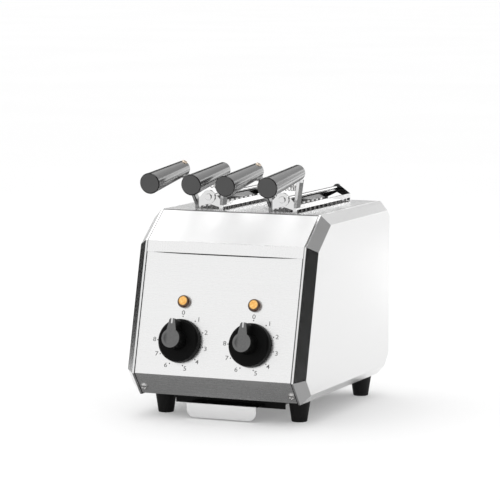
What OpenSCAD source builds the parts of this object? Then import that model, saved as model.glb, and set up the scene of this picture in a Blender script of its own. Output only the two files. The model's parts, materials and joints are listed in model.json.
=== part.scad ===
// Two-slot sandwich toaster with two lift-out tongs, in millimetres.
// X runs to the right as seen from the front, Y to the back, Z up.
// The origin lies on the table under the centre of the outline.

/* [Shell] */
// Overall width across the side panels
body_w = 210; // [208:1:220]
// Depth from the front fold to the rear wall
body_d = 279; // [278:1:300]
// Height of the shell without its feet
body_h = 199; // [196:1:206]
// Thickness of the stainless sheet
sheet = 1.2; // [1:0.1:1.4]
// Bevel round each side panel
bevel = 10.5; // [8.5:0.5:11]
// Flat strip between the bevel and the seam
seam_lip = 2.5; // [2.2:0.1:3]
// Open seam between a side panel and the wrapper
seam_gap = 0.5; // [0.3:0.1:0.7]
// Air between two lapped sheets
lap_gap = 0.3; // [0.2:0.05:0.4]
// Height of the lower front fold
low_fold_h = 26; // [24:1:28]
// Height of the upper front fold
up_fold_h = 168.5; // [165:0.5:171]
// How far the upper fold lies behind the lower one
front_lean = 37; // [34:1:39]
// How far the top edge lies behind the lower fold
top_setback = 79; // [76:1:81]
// How far the bottom edge lies behind the lower fold
bottom_setback = 21; // [18:1:24]
// Chamfer at the top of the rear wall
rear_top_chamfer = 13; // [10:1:14]
// Chamfer at the foot of the rear wall
rear_low_chamfer = 20; // [19:1:22]
// Height of the cover lip over the front panel
lip_h = 12.5; // [11:0.5:14]
// Height of the cover lip over the rear panel
rear_lip_h = 12; // [9:0.5:15]
// Width of the front panel's flange under the base
flange_w = 14; // [11:1:15]
// Height of the turned-up ends of the base
turn_up = 23; // [21:1:24]
// Head diameter of the panel screws
screw_head_d = 8.4; // [7:0.2:9]
// Distance of a panel screw from the lower fold
screw_drop = 21.5; // [18:0.5:23]
// Distance of a panel screw from the side face
screw_inset = 18; // [17:0.5:21]
// Thread diameter of the panel screws
screw_d = 4; // [3.5:0.1:4.5]
// Length of the panel screws behind the sheet
screw_l = 5; // [4:0.5:5.5]

/* [Feet] */
// Clear height under the shell
foot_h = 24; // [24:1:30]
// Diameter of a foot at the base
foot_top_d = 25; // [24:0.5:26]
// Diameter of a foot at the table
foot_low_d = 17; // [16:0.5:18.5]
// Distance of a foot from the side face
foot_inset = 25.5; // [24:0.5:26]
// Distance of the front feet behind the lower fold
foot_front = 56.5; // [54:0.5:60]
// Distance of the rear feet from the rear wall
foot_back = 33; // [32.5:0.5:37]
// Diameter of the foot screws
foot_screw_d = 4.4; // [4:0.2:5]
// Depth of the screw's counterbore in a foot
foot_seat = 10; // [8:0.5:12]
// Diameter of the foot screws' heads
foot_head_d = 8.4; // [7.5:0.1:9]
// Height of the foot screws' heads
foot_head_h = 3; // [2.5:0.1:4]
// Width across corners of the foot nuts
foot_nut_d = 9.2; // [8.5:0.1:10]
// Height of the foot nuts
foot_nut_h = 3.5; // [3:0.1:4]

/* [Controls] */
// Distance between the two dials
dial_pitch = 83; // [80:1:86]
// Distance of a dial above the lower fold
dial_up = 37.75; // [37:0.25:40]
// Diameter of a timer knob
knob_d = 48; // [44:0.5:50]
// How far a knob stands out of the panel
knob_h = 28; // [26:0.5:31]
// Thickness of the knob's skirt
skirt_h = 9; // [8:0.5:10]
// Diameter of the knob's grip
grip_d = 20.6; // [19:0.2:22]
// Reach of the pointer from the knob's axis
pointer_r = 21.5; // [19.5:0.5:22]
// Diameter of a timer shaft
shaft_d = 6; // [5:0.5:7]
// Edge of a timer's square housing
timer_w = 44; // [40:1:46]
// Depth of a timer's housing
timer_d = 32; // [28:1:36]
// Distance between the two screws of a timer
timer_screw_pitch = 28; // [26:0.5:30]
// Thread diameter of a timer screw
timer_screw_d = 3.4; // [3:0.1:3.6]
// Depth of a timer screw in the housing
timer_screw_l = 10; // [8:0.5:12]
// Head diameter of a timer screw
timer_head_d = 6.4; // [6:0.1:7]
// Head height of a timer screw
timer_head_h = 1.6; // [1.4:0.1:1.8]
// Distance of a lamp above the lower fold
lamp_up = 80.75; // [79:0.25:88]
// Diameter of a lamp lens
lamp_d = 14; // [13:0.5:16]
// How far a lamp lens stands out of the panel
lamp_h = 5; // [4:0.5:7]
// Diameter of the lamp's stem
lamp_stem_d = 10; // [9:0.5:11]

/* [Crumb tray] */
// Gap between a tray rail and the feet beside it
rail_clear = 1.5; // [1:0.1:4]
// Distance of the pan's front wall behind the lower fold
tray_front = 52; // [50:1:54]
// Distance of the tray's rear wall from the shell's rear wall
tray_back = 29; // [26:1:33]
// Depth of the pan
tray_h = 10; // [9:0.1:10.5]
// Width of the side flange that runs in a rail
tray_flange = 5; // [4:0.5:5]
// Play of the tray in its rails
tray_play = 0.8; // [0.6:0.1:1]
// Width of the pull tab
tab_w = 82; // [70:1:95]
// Height of the pull tab's plate above the pan's floor
tab_lift = 1.3; // [1:0.1:2]
// Height of the pull tab
tab_h = 15.7; // [13:0.1:16]
// Corner radius of the pull tab
tab_r = 9; // [6:0.5:10]
// Distance of the pull tab behind the lower fold
tab_front = 25.5; // [23:0.5:28]
// How far the pan reaches past the crumb opening, at its sides and rear
crumb_edge = 4; // [3:0.5:8]
// Gap between the crumb opening and the front bulkhead
crumb_gap = 7; // [6:0.5:9]

/* [Heating] */
// Distance of the front bulkhead behind the lower fold
bulk_front = 88; // [87:0.5:90]
// Distance of the rear bulkhead from the rear wall
bulk_back = 17; // [16.5:0.5:18]
// Diameter of a heater tube
tube_d = 10; // [8:0.5:10.5]
// Height of the lowest tubes above the shell's underside
tube_lift = 71; // [66:1:80]
// Depth of the highest tubes below the cover
tube_drop = 38; // [36:1:46]
// Distance of the outer tubes from the side face
tube_inset = 18; // [17.5:0.25:18.5]
// Distance from the outer tubes to the outer guards
tube_gap = 7; // [6.8:0.1:7.2]
// Distance from the middle tubes to the inner guards
centre_gap = 8; // [7:0.25:8.5]
// Diameter of a ceramic cap
cap_d = 14; // [13:0.5:15]
// Length of a ceramic cap
cap_l = 10; // [9:0.5:10.5]
// Thickness of the guard wires
guard_d = 2.8; // [2.2:0.1:3]
// Number of upright wires in one guard
guard_n = 7; // [5:1:9]

/* [Slots] */
// Width of a slot in the cover
slot_w = 40; // [38:0.5:44]
// Distance of the slots' front end behind the front bulkhead
slot_lead = 11; // [10:0.5:13]
// Distance of the slots' rear end in front of the rear bulkhead
slot_tail = 6; // [5.5:0.5:8]
// Depth of the turned-down slot edge
slot_rim = 6; // [4:0.5:8]

/* [Tongs] */
// Height of the hinge rod above the cover
pivot_h = 14; // [13:0.5:16]
// Diameter of the hinge rod
rod_d = 5; // [4:0.5:5.5]
// Radial running clearance on the hinge rod
rod_play = 0.05; // [0.03:0.01:0.08]
// Radius of a front ear round the hinge rod
ear_r = 7.5; // [6:0.25:8]
// Radius of a rear ear round the hinge rod
rear_ear_r = 4.5; // [4.25:0.25:7]
// Thickness of the jaw sheet
jaw_t = 1.5; // [1.2:0.1:1.8]
// Air between neighbouring moving pieces
move_gap = 0.3; // [0.3:0.05:0.4]
// How far the front ears lie in front of the slot
ear_lead = 7; // [6:0.5:8]
// How far the rear ears lie behind the slot
ear_tail = 6; // [5:0.5:8]
// Distance of a rail's outer face from the middle of the tong
rail_x = 16; // [15.5:0.25:17]
// Height of a rail
rail_h = 5; // [4:0.5:7]
// Height of a rail's lower edge above the cover
rail_lift = 3; // [2.5:0.25:4]
// Thickness of the grid wires
wire_d = 2.5; // [2:0.1:2.8]
// Number of upright wires in one grid
wire_n = 12; // [9:1:14]
// Depth of a grid below the cover
grid_deep = 152; // [140:1:154]
// Thickness of the strip on which the bread rests, under a grid
rest_t = 1.5; // [1.2:0.1:2]
// Gap between the facing edges of a tong's two rest strips
rest_gap = 2.4; // [1.6:0.2:4]
// Distance of a handle from the middle of the tong
handle_x = 24.3; // [23.5:0.1:25.5]
// Height of a handle's rear end above the cover
handle_up = 46.3; // [45:0.1:48]
// How far a handle's rear end lies in front of the front ears
handle_lead = 11; // [9:0.5:12]
// Length of a handle
handle_l = 92; // [85:1:105]
// Diameter of a handle at its front end
handle_front_d = 23; // [21:0.5:25]
// Diameter of a handle at its rear end
handle_rear_d = 17.5; // [16:0.5:19]
// Rounding of a handle's rear edge
handle_round = 5; // [3:0.5:5]
// Slope of the handles
handle_tilt = 6.5; // [4:0.5:7]
// Diameter of a handle screw
handle_screw_d = 5; // [4:0.5:5]
// Depth of a handle screw in the handle
handle_screw_l = 22; // [18:1:26]
// Head diameter of a handle screw
handle_head_d = 8.4; // [7.5:0.1:9]
// Head height of a handle screw
handle_head_h = 2.8; // [2:0.1:3.5]
// Outer diameter of a tong spring
spring_d = 8; // [7:0.5:9]
// Thickness of the spring wire
spring_wire = 1.2; // [0.9:0.1:1.3]
// Number of turns in a spring
spring_turns = 10; // [8:1:11]
// Height of a spring above the hinge rod
spring_up = 14; // [13.5:0.25:15]

/* [Cord inlet] */
// Distance of the gland from the side face
gland_inset = 43; // [39:1:55]
// Height of the gland above the shell's underside
gland_z = 46; // [42:1:52]
// Diameter of the cord that the gland takes
cord_d = 8; // [6:0.5:9]
// Diameter of the gland's thread
gland_thread_d = 16; // [15:0.5:18]
// How far the gland stands out of the rear panel
gland_l = 14; // [11:0.5:16]
// Corner diameter of the gland's hexagons
gland_hex = 24; // [22:0.5:26]
// Thickness of the gland's hexagon
gland_hex_h = 5; // [4:0.5:6]
// Thickness of the gland's nut
gland_nut_h = 4; // [3:0.5:5]
// Length of the thread behind the rear panel
gland_thread_l = 8; // [7:0.5:9]
// Width of the terminal block
block_w = 44; // [36:1:50]
// Depth of the terminal block
block_d = 18; // [16:0.5:20]
// Height of the terminal block
block_h = 15; // [13:0.5:18]
// Distance of the terminal block behind the lower fold
block_front = 44; // [40:1:50]
// Distance between neighbouring terminals
terminal_pitch = 13; // [11:0.5:14]
// Bore of a terminal
terminal_d = 5; // [4:0.2:6]
// Bore over a terminal's screw
terminal_screw_d = 4; // [3.5:0.1:4.5]

/* [Hidden] */
$fn = 48;

// Colours of the materials
c_steel = "#d9dbdc";
c_black = "#1d1d1f";
c_dark = "#3a3b3d";
c_amber = "#e39a2e";
c_white = "#e8e4da";
c_quartz = "#e6e9ea";

// A small overlap that lets two shapes of one solid fuse
fuse = 0.2;
// Length by which a cutting shape runs past the face it cuts
past = 1;
// Ratio of a 45 degree sheet fold's setback to the sheet thickness
fold_k = sqrt(2) - 1;
// Play of a screw in its hole, of a thread in its thread and of a piece in a panel's hole
hole_play = 0.2;
thread_play = 0.1;
panel_play = 0.6;
// Room at the end of a blind hole
hole_end = 0.5;

// Levels
z_under = foot_h;
z_top = foot_h + body_h;

// Places that follow from the walls
screw_x = body_w / 2 - screw_inset;
foot_x = body_w / 2 - foot_inset;
foot_rear = body_d - foot_back;
gland_x = body_w / 2 - gland_inset;
bulk_rear = body_d - bulk_back;
slot_front = bulk_front + slot_lead;
slot_rear = bulk_rear - slot_tail;
ear_front = slot_front - ear_lead;
ear_rear = slot_rear + ear_tail;
handle_back = ear_front - handle_lead;
tray_rear = body_d - tray_back;
// The tray and its two rails fill the space between the feet
tray_w = 2 * (foot_x - foot_top_d / 2 - rail_clear - sheet - tray_play - tray_flange);
crumb_w = tray_w - 2 * crumb_edge;

// Lapped panels lie one sheet and one gap inside the outline
recess = sheet + lap_gap;
base_z = z_under + recess + sheet;
seam_x = body_w / 2 - bevel - seam_lip;
side_in = body_w / 2 - sheet;

// Outline of the shell in Y and Z, from the bottom front edge over the top
outline = [
    [bottom_setback, z_under],
    [0, z_under + low_fold_h],
    [front_lean, z_under + up_fold_h],
    [top_setback, z_top],
    [body_d - rear_top_chamfer, z_top],
    [body_d, z_top - rear_top_chamfer],
    [body_d, z_under + rear_low_chamfer],
    [body_d - rear_low_chamfer, z_under]];

// Unit vector to the inside of an outline edge
function edge_in(a, b) = let (d = b - a) [d[1], -d[0]] / norm(d);
// Corner b moved inwards by t
function corner_in(a, b, c, t) =
    let (m = edge_in(a, b), n = edge_in(b, c)) b + t * (m + n) / (1 + m * n);
// Closed outline moved inwards by t
function inset(p, t) =
    let (n = len(p))
    [for (i = [0 : n - 1]) corner_in(p[(i + n - 1) % n], p[i], p[(i + 1) % n], t)];
// Inner side of a bent sheet of thickness t at corner i of its path
function sheet_in(p, i, t) =
    let (e = len(p) - 1)
    i == 0 ? p[0] + t * edge_in(p[0], p[1])
    : i == e ? p[e] + t * edge_in(p[e - 1], p[e])
    : corner_in(p[i - 1], p[i], p[i + 1], t);
// Section of a bent sheet whose outer side follows a path
function bent(p, t) = concat(p, [for (i = [len(p) - 1 : -1 : 0]) sheet_in(p, i, t)]);
// Point at distance s from a towards b
function along(a, b, s) = a + (b - a) / norm(b - a) * s;
// An outline set upright at one X
function ring(p, x) = [for (q = p) [x, q[0], q[1]]];

// Outline of the lapped panels, and the outline one sheet further in
lapped = inset(outline, recess);
inner = inset(outline, recess + sheet);

// Front panel frame: up is along the sheet, out is square to it
lean = atan2(front_lean, up_fold_h - low_fold_h);
panel_len = norm(lapped[2] - lapped[1]);
function panel_at(up, out) =
    lapped[1] + up * [sin(lean), cos(lean)] + out * [-cos(lean), sin(lean)];

// Lower chamfers, front and rear, as a place and a direction square to the sheet
front_drop = atan2(bottom_setback, low_fold_h);
screw_front = along(lapped[1], lapped[0], screw_drop);
screw_rear = (lapped[6] + lapped[7]) / 2;

// Outer tubes stand off the sides, and each tong hangs midway between its two guards
tube_x = body_w / 2 - tube_inset;
tong_x = (tube_x - tube_gap + centre_gap) / 2;
guard_off = (tube_x - tube_gap - centre_gap) / 2;

// Tong levels
pivot_z = z_top + pivot_h;
rail_z = z_top + rail_lift;
ear_low = z_top + move_gap;
handle_z = z_top + handle_up;
handle_tip = [handle_back - handle_l * cos(handle_tilt), handle_z - handle_l * sin(handle_tilt)];
// Jaw a is the left one of a tong and laps outside jaw b
jaw_a = [ear_front, ear_rear];
jaw_b = [ear_front + jaw_t + move_gap, ear_rear - jaw_t - move_gap];
wire_x = rail_x - jaw_t - wire_d / 2;

// Overall depth, from the foremost knob or handle to the gland
knob_tip = panel_at(dial_up - grip_d / 2, knob_h)[0];
handle_low_tip = handle_tip[0] - handle_front_d / 2 * sin(handle_tilt);
y_min = min(knob_tip, handle_low_tip);
y_max = body_d - recess + gland_l;

// Puts the shell frame, with Y = 0 at the lower front fold, on the part's origin
module place() {
    translate([0, -(y_min + y_max) / 2, 0]) children();
}

// Extrudes a Y-Z section from x0 to x1
module run_x(x0, x1) {
    translate([x0, 0, 0]) rotate([90, 0, 90]) linear_extrude(x1 - x0) children();
}

// Extrudes an X-Z section from y0 to y1
module run_y(y0, y1) {
    translate([0, y1, 0]) rotate([90, 0, 0]) linear_extrude(y1 - y0) children();
}

// Box between two corners
module block(a, b) {
    translate(a) cube(b - a);
}

// Copies with the side turned round X = 0
module both_sides() {
    children();
    mirror([1, 0, 0]) children();
}

// Frame on the front panel: local Z points out of the panel
module on_panel(x, up) {
    p = panel_at(up, 0);
    translate([x, p[0], p[1]]) rotate([90 - lean, 0, 0]) children();
}

// Frame on a panel screw: local Z points out of the chamfer
module on_front_chamfer(x) {
    translate([x, screw_front[0], screw_front[1]]) rotate([90 + front_drop, 0, 0]) children();
}

module on_rear_chamfer(x) {
    translate([x, screw_rear[0], screw_rear[1]]) rotate([-90 - 45, 0, 0]) children();
}

// Cylinder along Y from y0 to y1
module bar_y(x, z, d, y0, y1) {
    translate([x, y0, z]) rotate([-90, 0, 0]) cylinder(d = d, h = y1 - y0);
}

// Eight-sided wire with flats of width d, along Z
module wire(d, h) {
    rotate([0, 0, 22.5]) cylinder(r = d / 2 / cos(22.5), h = h, $fn = 8);
}

// Closed solid through a row of equal rings, in the direction of X
module loft(rings) {
    n = len(rings[0]);
    k = len(rings);
    sides = [for (j = [0 : k - 2]) for (i = [0 : n - 1])
        [j * n + i, j * n + (i + 1) % n, (j + 1) * n + (i + 1) % n, (j + 1) * n + i]];
    polyhedron(
        points = [for (r = rings) each r],
        faces = concat(sides, [[for (i = [n - 1 : -1 : 0]) i]],
            [[for (i = [0 : n - 1]) (k - 1) * n + i]]));
}

// Bulkheads: ends of the wide part that reaches the side panels, and its flanges
bulk_lift = 22;
bulk_drop = 24;
bulk_flange = 12;
bulk_low = z_under + bulk_lift;
bulk_high = z_top - bulk_drop;
bulk_x = seam_x - lap_gap;
// The rear bulkhead ends above the turned-up base
chamfer_top = z_under + bulk_rear + sheet - body_d + rear_low_chamfer
    + (recess + 2 * sheet) * sqrt(2);
rear_bulk_low = max(base_z + sheet, chamfer_top + lap_gap);
// Weld studs of the side panels and their nuts
stud_d = 4;
stud_l = 6.5;
stud_in = 25;
nut_d = 8;
nut_h = 3.2;
stud_z = [bulk_low + stud_in, bulk_high - stud_in];
stud_y = [bulk_front - bulk_flange / 2, bulk_rear - bulk_flange / 2];

// Heaters: wall of a tube, seat of its ends in the caps, and air to the reflectors
tube_wall = 1.5;
tube_end = 2;
refl_gap = 2.5;
tube_low = z_under + tube_lift;
tube_pitch = (z_top - tube_drop - tube_low) / 2;
tube_z = [for (i = [0 : 2]) tube_low + i * tube_pitch];
refl_x = tube_x + tube_d / 2 + refl_gap;

// Guards: places of the rods and wires, and how far the rods pass the bulkheads
guard_lift = 38;
guard_drop = 17;
guard_edge = 18;
guard_past = 3;
guard_thin = 0.6;
guard_x = [for (s = [-1, 1]) for (t = [-1, 1]) s * tong_x + t * guard_off];
guard_z = [z_under + guard_lift, z_top - guard_drop];
guard_hole = guard_d / cos(22.5) + hole_play;

// Sheet pieces of the shell

// Hole for a panel screw, along local Z
module screw_hole(d) {
    translate([0, 0, -screw_l - past]) cylinder(d = d, h = screw_l + 2 * past);
}

module base_plate() color(c_steel) {
    path = [along(inner[7], inner[6], turn_up), inner[7], inner[0], along(inner[0], inner[1], turn_up)];
    difference() {
        run_x(-bulk_x, bulk_x) polygon(bent(path, sheet));
        block([-crumb_w / 2, bulk_front + crumb_gap, base_z - past],
            [crumb_w / 2, tray_rear - crumb_edge, base_z + sheet + past]);
        at_feet() translate([0, 0, base_z - past])
            cylinder(d = foot_screw_d + hole_play, h = sheet + 2 * past);
        both_sides() {
            on_front_chamfer(screw_x) screw_hole(screw_d + thread_play);
            on_rear_chamfer(screw_x) screw_hole(screw_d + thread_play);
        }
    }
}

// Front panel: how far it ends below the upper fold, its folded side edges and the shaft's hole
panel_short = 3;
edge_fold = 9;
edge_end = 9;
shaft_room = 4;

module front_panel() color(c_steel) {
    path = [lapped[0] + [flange_w, 0], lapped[0], lapped[1], panel_at(panel_len - panel_short, 0)];
    edge = [panel_at(edge_end, 0), panel_at(panel_len - edge_end, 0)];
    difference() {
        union() {
            run_x(-seam_x, seam_x) polygon(bent(path, sheet));
            both_sides() run_x(seam_x - sheet, seam_x) polygon(bent(edge, edge_fold));
        }
        both_sides() {
            on_panel(dial_pitch / 2, dial_up) translate([0, 0, -sheet - past])
                cylinder(d = shaft_d + shaft_room, h = sheet + 2 * past);
            on_panel(dial_pitch / 2, lamp_up) translate([0, 0, -sheet - past])
                cylinder(d = lamp_stem_d + panel_play, h = sheet + 2 * past);
            for (s = [-1, 1])
                on_panel(dial_pitch / 2 + s * timer_screw_pitch / 2, dial_up)
                    translate([0, 0, -sheet - past])
                        cylinder(d = timer_screw_d + panel_play, h = sheet + 2 * past);
            on_front_chamfer(screw_x) screw_hole(screw_d + 2 * hole_play);
        }
    }
}

module top_cover() color(c_steel) {
    path = [along(outline[2], outline[1], lip_h), outline[2], outline[3], outline[4],
        outline[5], outline[5] - [0, rear_lip_h]];
    difference() {
        union() {
            run_x(-seam_x, seam_x) polygon(bent(path, sheet));
            both_sides() block([tong_x - slot_w / 2 - sheet, slot_front - sheet, z_top - slot_rim],
                [tong_x + slot_w / 2 + sheet, slot_rear + sheet, z_top - fuse]);
        }
        both_sides() block([tong_x - slot_w / 2, slot_front, z_top - slot_rim - past],
            [tong_x + slot_w / 2, slot_rear, z_top + past]);
    }
}

// How far the rear panel ends below the cover's fold
rear_short = 2;

module rear_panel() color(c_steel) {
    path = [lapped[5] - [0, rear_short], lapped[6], lapped[7]];
    difference() {
        run_x(-seam_x, seam_x) polygon(bent(path, sheet));
        bar_y(gland_x, z_under + gland_z, gland_thread_d + 2 * hole_play,
            body_d - recess - sheet - past, body_d);
        both_sides() on_rear_chamfer(screw_x) screw_hole(screw_d + 2 * hole_play);
    }
}

// Right side panel, a shallow tray with beveled edges and weld studs
module side_panel() {
    x_in = seam_x + seam_gap;
    x_fold = body_w / 2 - bevel;
    difference() {
        loft([ring(outline, x_in), ring(outline, x_fold), ring(inset(outline, bevel), body_w / 2)]);
        loft([ring(inset(outline, sheet), x_in - past),
            ring(inset(outline, sheet), x_fold - fold_k * sheet),
            ring(inset(outline, bevel + fold_k * sheet), side_in)]);
    }
    for (y = stud_y) for (z = stud_z)
        translate([side_in - stud_l, y, z]) rotate([0, 90, 0]) cylinder(d = stud_d, h = stud_l + fuse);
}

module side_panel_right() color(c_steel) side_panel();

module side_panel_left() color(c_steel) mirror([1, 0, 0]) side_panel();

// Rim, dome and flat top of a panel screw's head
head_rim_h = 1.2;
head_dome_h = 1;
head_flat = 0.6;

// Round-head screw, local Z out of the sheet
module panel_screw() {
    cylinder(d = screw_head_d, h = head_rim_h);
    translate([0, 0, head_rim_h])
        cylinder(d1 = screw_head_d, d2 = screw_head_d * head_flat, h = head_dome_h);
    translate([0, 0, -screw_l]) cylinder(d = screw_d, h = screw_l + fuse);
}

module panel_screws() color(c_steel) both_sides() {
    on_front_chamfer(screw_x) panel_screw();
    on_rear_chamfer(screw_x) panel_screw();
}

module side_panel_nuts() color(c_steel) both_sides() for (y = stud_y) for (z = stud_z)
    translate([side_in - sheet - nut_h, y, z]) rotate([0, 90, 0]) difference() {
        cylinder(d = nut_d, h = nut_h, $fn = 6);
        translate([0, 0, -past]) cylinder(d = stud_d + thread_play, h = nut_h + 2 * past);
    }

// Feet

module at_feet() {
    for (s = [-1, 1]) for (y = [foot_front, foot_rear]) translate([s * foot_x, y, 0]) children();
}

// Room round a foot screw's head, and length of its thread past the nut
foot_head_room = 1.1;
foot_thread_past = 2;

module foot(side, y) color(c_black) translate([side * foot_x, y, 0]) difference() {
    cylinder(d1 = foot_low_d, d2 = foot_top_d, h = base_z);
    translate([0, 0, -past]) cylinder(d = foot_head_d + foot_head_room, h = foot_seat + past);
    translate([0, 0, -past]) cylinder(d = foot_screw_d + hole_play, h = base_z + 2 * past);
}

module foot_front_left() foot(-1, foot_front);

module foot_front_right() foot(1, foot_front);

module foot_rear_left() foot(-1, foot_rear);

module foot_rear_right() foot(1, foot_rear);

module foot_screws() color(c_steel) at_feet() {
    translate([0, 0, foot_seat - foot_head_h]) cylinder(d = foot_head_d, h = foot_head_h);
    translate([0, 0, foot_seat - fuse])
        cylinder(d = foot_screw_d, h = base_z + sheet + foot_nut_h + foot_thread_past - foot_seat);
    translate([0, 0, base_z + sheet]) difference() {
        cylinder(d = foot_nut_d, h = foot_nut_h, $fn = 6);
        translate([0, 0, -past]) cylinder(d = foot_screw_d + thread_play, h = foot_nut_h + 2 * past);
    }
}

// Crumb tray and its rails

// Air between a rail's lip and the pan
rail_gap = 1.2;
rail_out = tray_w / 2 + tray_flange + tray_play + sheet;
rail_in = tray_w / 2 + rail_gap;
rail_top = base_z - sheet;
ledge = rail_top - 2 * tray_play - sheet;
tray_rim = rail_top - tray_play;
tray_floor = tray_rim - tray_h;
tab_z = tray_floor + tab_lift + sheet;

module tray_rail() run_y(tray_front, tray_rear) polygon([
    [rail_in, base_z], [rail_out, base_z], [rail_out, ledge - sheet], [rail_in, ledge - sheet],
    [rail_in, ledge], [rail_out - sheet, ledge], [rail_out - sheet, rail_top], [rail_in, rail_top]]);

module tray_rail_right() color(c_steel) tray_rail();

module tray_rail_left() color(c_steel) mirror([1, 0, 0]) tray_rail();

module crumb_tray() color(c_steel) {
    difference() {
        block([-tray_w / 2, tray_front, tray_floor], [tray_w / 2, tray_rear, tray_rim]);
        block([sheet - tray_w / 2, tray_front + sheet, tray_floor + sheet],
            [tray_w / 2 - sheet, tray_rear - sheet, tray_rim + past]);
    }
    both_sides() block([tray_w / 2 - fuse, tray_front, tray_rim - sheet],
        [tray_w / 2 + tray_flange, tray_rear, tray_rim]);
    block([-tab_w / 2, tab_front, tab_z - sheet], [tab_w / 2, tray_front + sheet, tab_z]);
    translate([0, 0, tab_z]) run_y(tab_front, tab_front + sheet) polygon(concat(
        [[tab_w / 2, 0], [-tab_w / 2, 0]],
        [for (a = [180 : 9 : 270]) [tab_r - tab_w / 2, tab_r - tab_h] + tab_r * [cos(a), sin(a)]],
        [for (a = [270 : 9 : 360]) [tab_w / 2 - tab_r, tab_r - tab_h] + tab_r * [cos(a), sin(a)]]));
}

// Heating chamber

module bulkhead_holes(y) {
    for (x = [-tube_x, 0, tube_x]) for (z = tube_z)
        bar_y(x, z, tube_d + hole_play, y - past, y + sheet + past);
    for (x = guard_x) for (z = guard_z) bar_y(x, z, guard_hole, y - past, y + sheet + past);
    for (z = stud_z) translate([-body_w, y - bulk_flange / 2, z]) rotate([0, 90, 0])
        cylinder(d = stud_d + hole_play, h = 2 * body_w);
}

module bulkhead(y, low) difference() {
    union() {
        run_y(y, y + sheet) polygon([
            [-bulk_x, low], [bulk_x, low], [bulk_x, bulk_low], [side_in, bulk_low],
            [side_in, bulk_high], [bulk_x, bulk_high], [bulk_x, z_top - sheet],
            [-bulk_x, z_top - sheet], [-bulk_x, bulk_high], [-side_in, bulk_high],
            [-side_in, bulk_low], [-bulk_x, bulk_low]]);
        both_sides() block([side_in - sheet, y - bulk_flange, bulk_low], [side_in, y + fuse, bulk_high]);
    }
    bulkhead_holes(y);
}

module front_bulkhead() color(c_steel) bulkhead(bulk_front, base_z + sheet);

module rear_bulkhead() color(c_steel) bulkhead(bulk_rear, rear_bulk_low);

module reflectors() color(c_steel) both_sides()
    block([refl_x, bulk_front + sheet, bulk_low], [refl_x + sheet, bulk_rear, bulk_high]);

module heater_tubes() color(c_quartz) for (x = [-tube_x, 0, tube_x]) for (z = tube_z) difference() {
    bar_y(x, z, tube_d, bulk_front - cap_l + tube_end, bulk_rear + sheet + cap_l - tube_end);
    bar_y(x, z, tube_d - 2 * tube_wall, bulk_front - cap_l, bulk_rear + sheet + cap_l);
}

module heater_caps() color(c_white) for (x = [-tube_x, 0, tube_x]) for (z = tube_z) {
    difference() {
        bar_y(x, z, cap_d, bulk_front - cap_l, bulk_front);
        bar_y(x, z, tube_d + thread_play, bulk_front - cap_l + tube_end, bulk_front + past);
    }
    difference() {
        bar_y(x, z, cap_d, bulk_rear + sheet, bulk_rear + sheet + cap_l);
        bar_y(x, z, tube_d + thread_play, bulk_rear, bulk_rear + sheet + cap_l - tube_end);
    }
}

// One guard: two rods along the slot and upright wires between them
module guard(x) {
    y0 = bulk_front + guard_edge;
    step = (bulk_rear - bulk_front - 2 * guard_edge) / (guard_n - 1);
    for (z = guard_z) translate([x, bulk_front - guard_past, z]) rotate([-90, 0, 0])
        wire(guard_d, bulk_rear - bulk_front + sheet + 2 * guard_past);
    for (i = [0 : guard_n - 1]) translate([x, y0 + i * step, guard_z[0]])
        wire(guard_d - guard_thin, guard_z[1] - guard_z[0]);
}

module guard_wires_left() color(c_steel) {
    guard(guard_x[0]);
    guard(guard_x[1]);
}

module guard_wires_right() color(c_steel) {
    guard(guard_x[2]);
    guard(guard_x[3]);
}

// Controls

// Gap between the panel and a knob
knob_gap = 1;
// Depth of the shaft's bore in a knob, from the panel
bore_top = 18;
shaft_in = 13;
// Fit of the shaft in the knob, and of the shaft in the timer
shaft_fit = 0.04;
// Skirt: taper, rounded edge, crown, wall and hollow, with the hub round the shaft
skirt_taper = 0.6;
skirt_round = 2;
skirt_crown = 0.8;
knob_wall = 2.5;
knob_hollow = 3.2;
hub_d = 14;
// Grip: taper, how deep it sinks into the skirt, and half widths of the pointer
grip_taper = 2;
grip_sink = 0.5;
pointer_root = 7;
pointer_end = 3.3;
pointer_flat = 2;
pointer_round = 1.5;

module timer(side) color(c_dark) on_panel(side * dial_pitch / 2, dial_up) difference() {
    block([-timer_w / 2, -timer_w / 2, -sheet - timer_d], [timer_w / 2, timer_w / 2, -sheet]);
    translate([0, 0, -sheet - shaft_in]) cylinder(d = shaft_d + thread_play, h = shaft_in + past);
    for (s = [-1, 1]) translate([s * timer_screw_pitch / 2, 0, -sheet - timer_screw_l - hole_end])
        cylinder(d = timer_screw_d + thread_play, h = timer_screw_l + hole_end + past);
}

module timer_left() timer(-1);

module timer_right() timer(1);

module timer_screws() color(c_steel) both_sides() for (s = [-1, 1])
    on_panel(dial_pitch / 2 + s * timer_screw_pitch / 2, dial_up) {
        cylinder(d = timer_head_d, h = timer_head_h);
        translate([0, 0, -sheet - timer_screw_l])
            cylinder(d = timer_screw_d, h = sheet + timer_screw_l + fuse);
    }

module timer_shaft(side) color(c_steel) on_panel(side * dial_pitch / 2, dial_up)
    translate([0, 0, hole_end - sheet - shaft_in])
        cylinder(d = shaft_d, h = sheet + shaft_in + bore_top - 2 * hole_end);

module timer_shaft_left() timer_shaft(-1);

module timer_shaft_right() timer_shaft(1);

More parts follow.
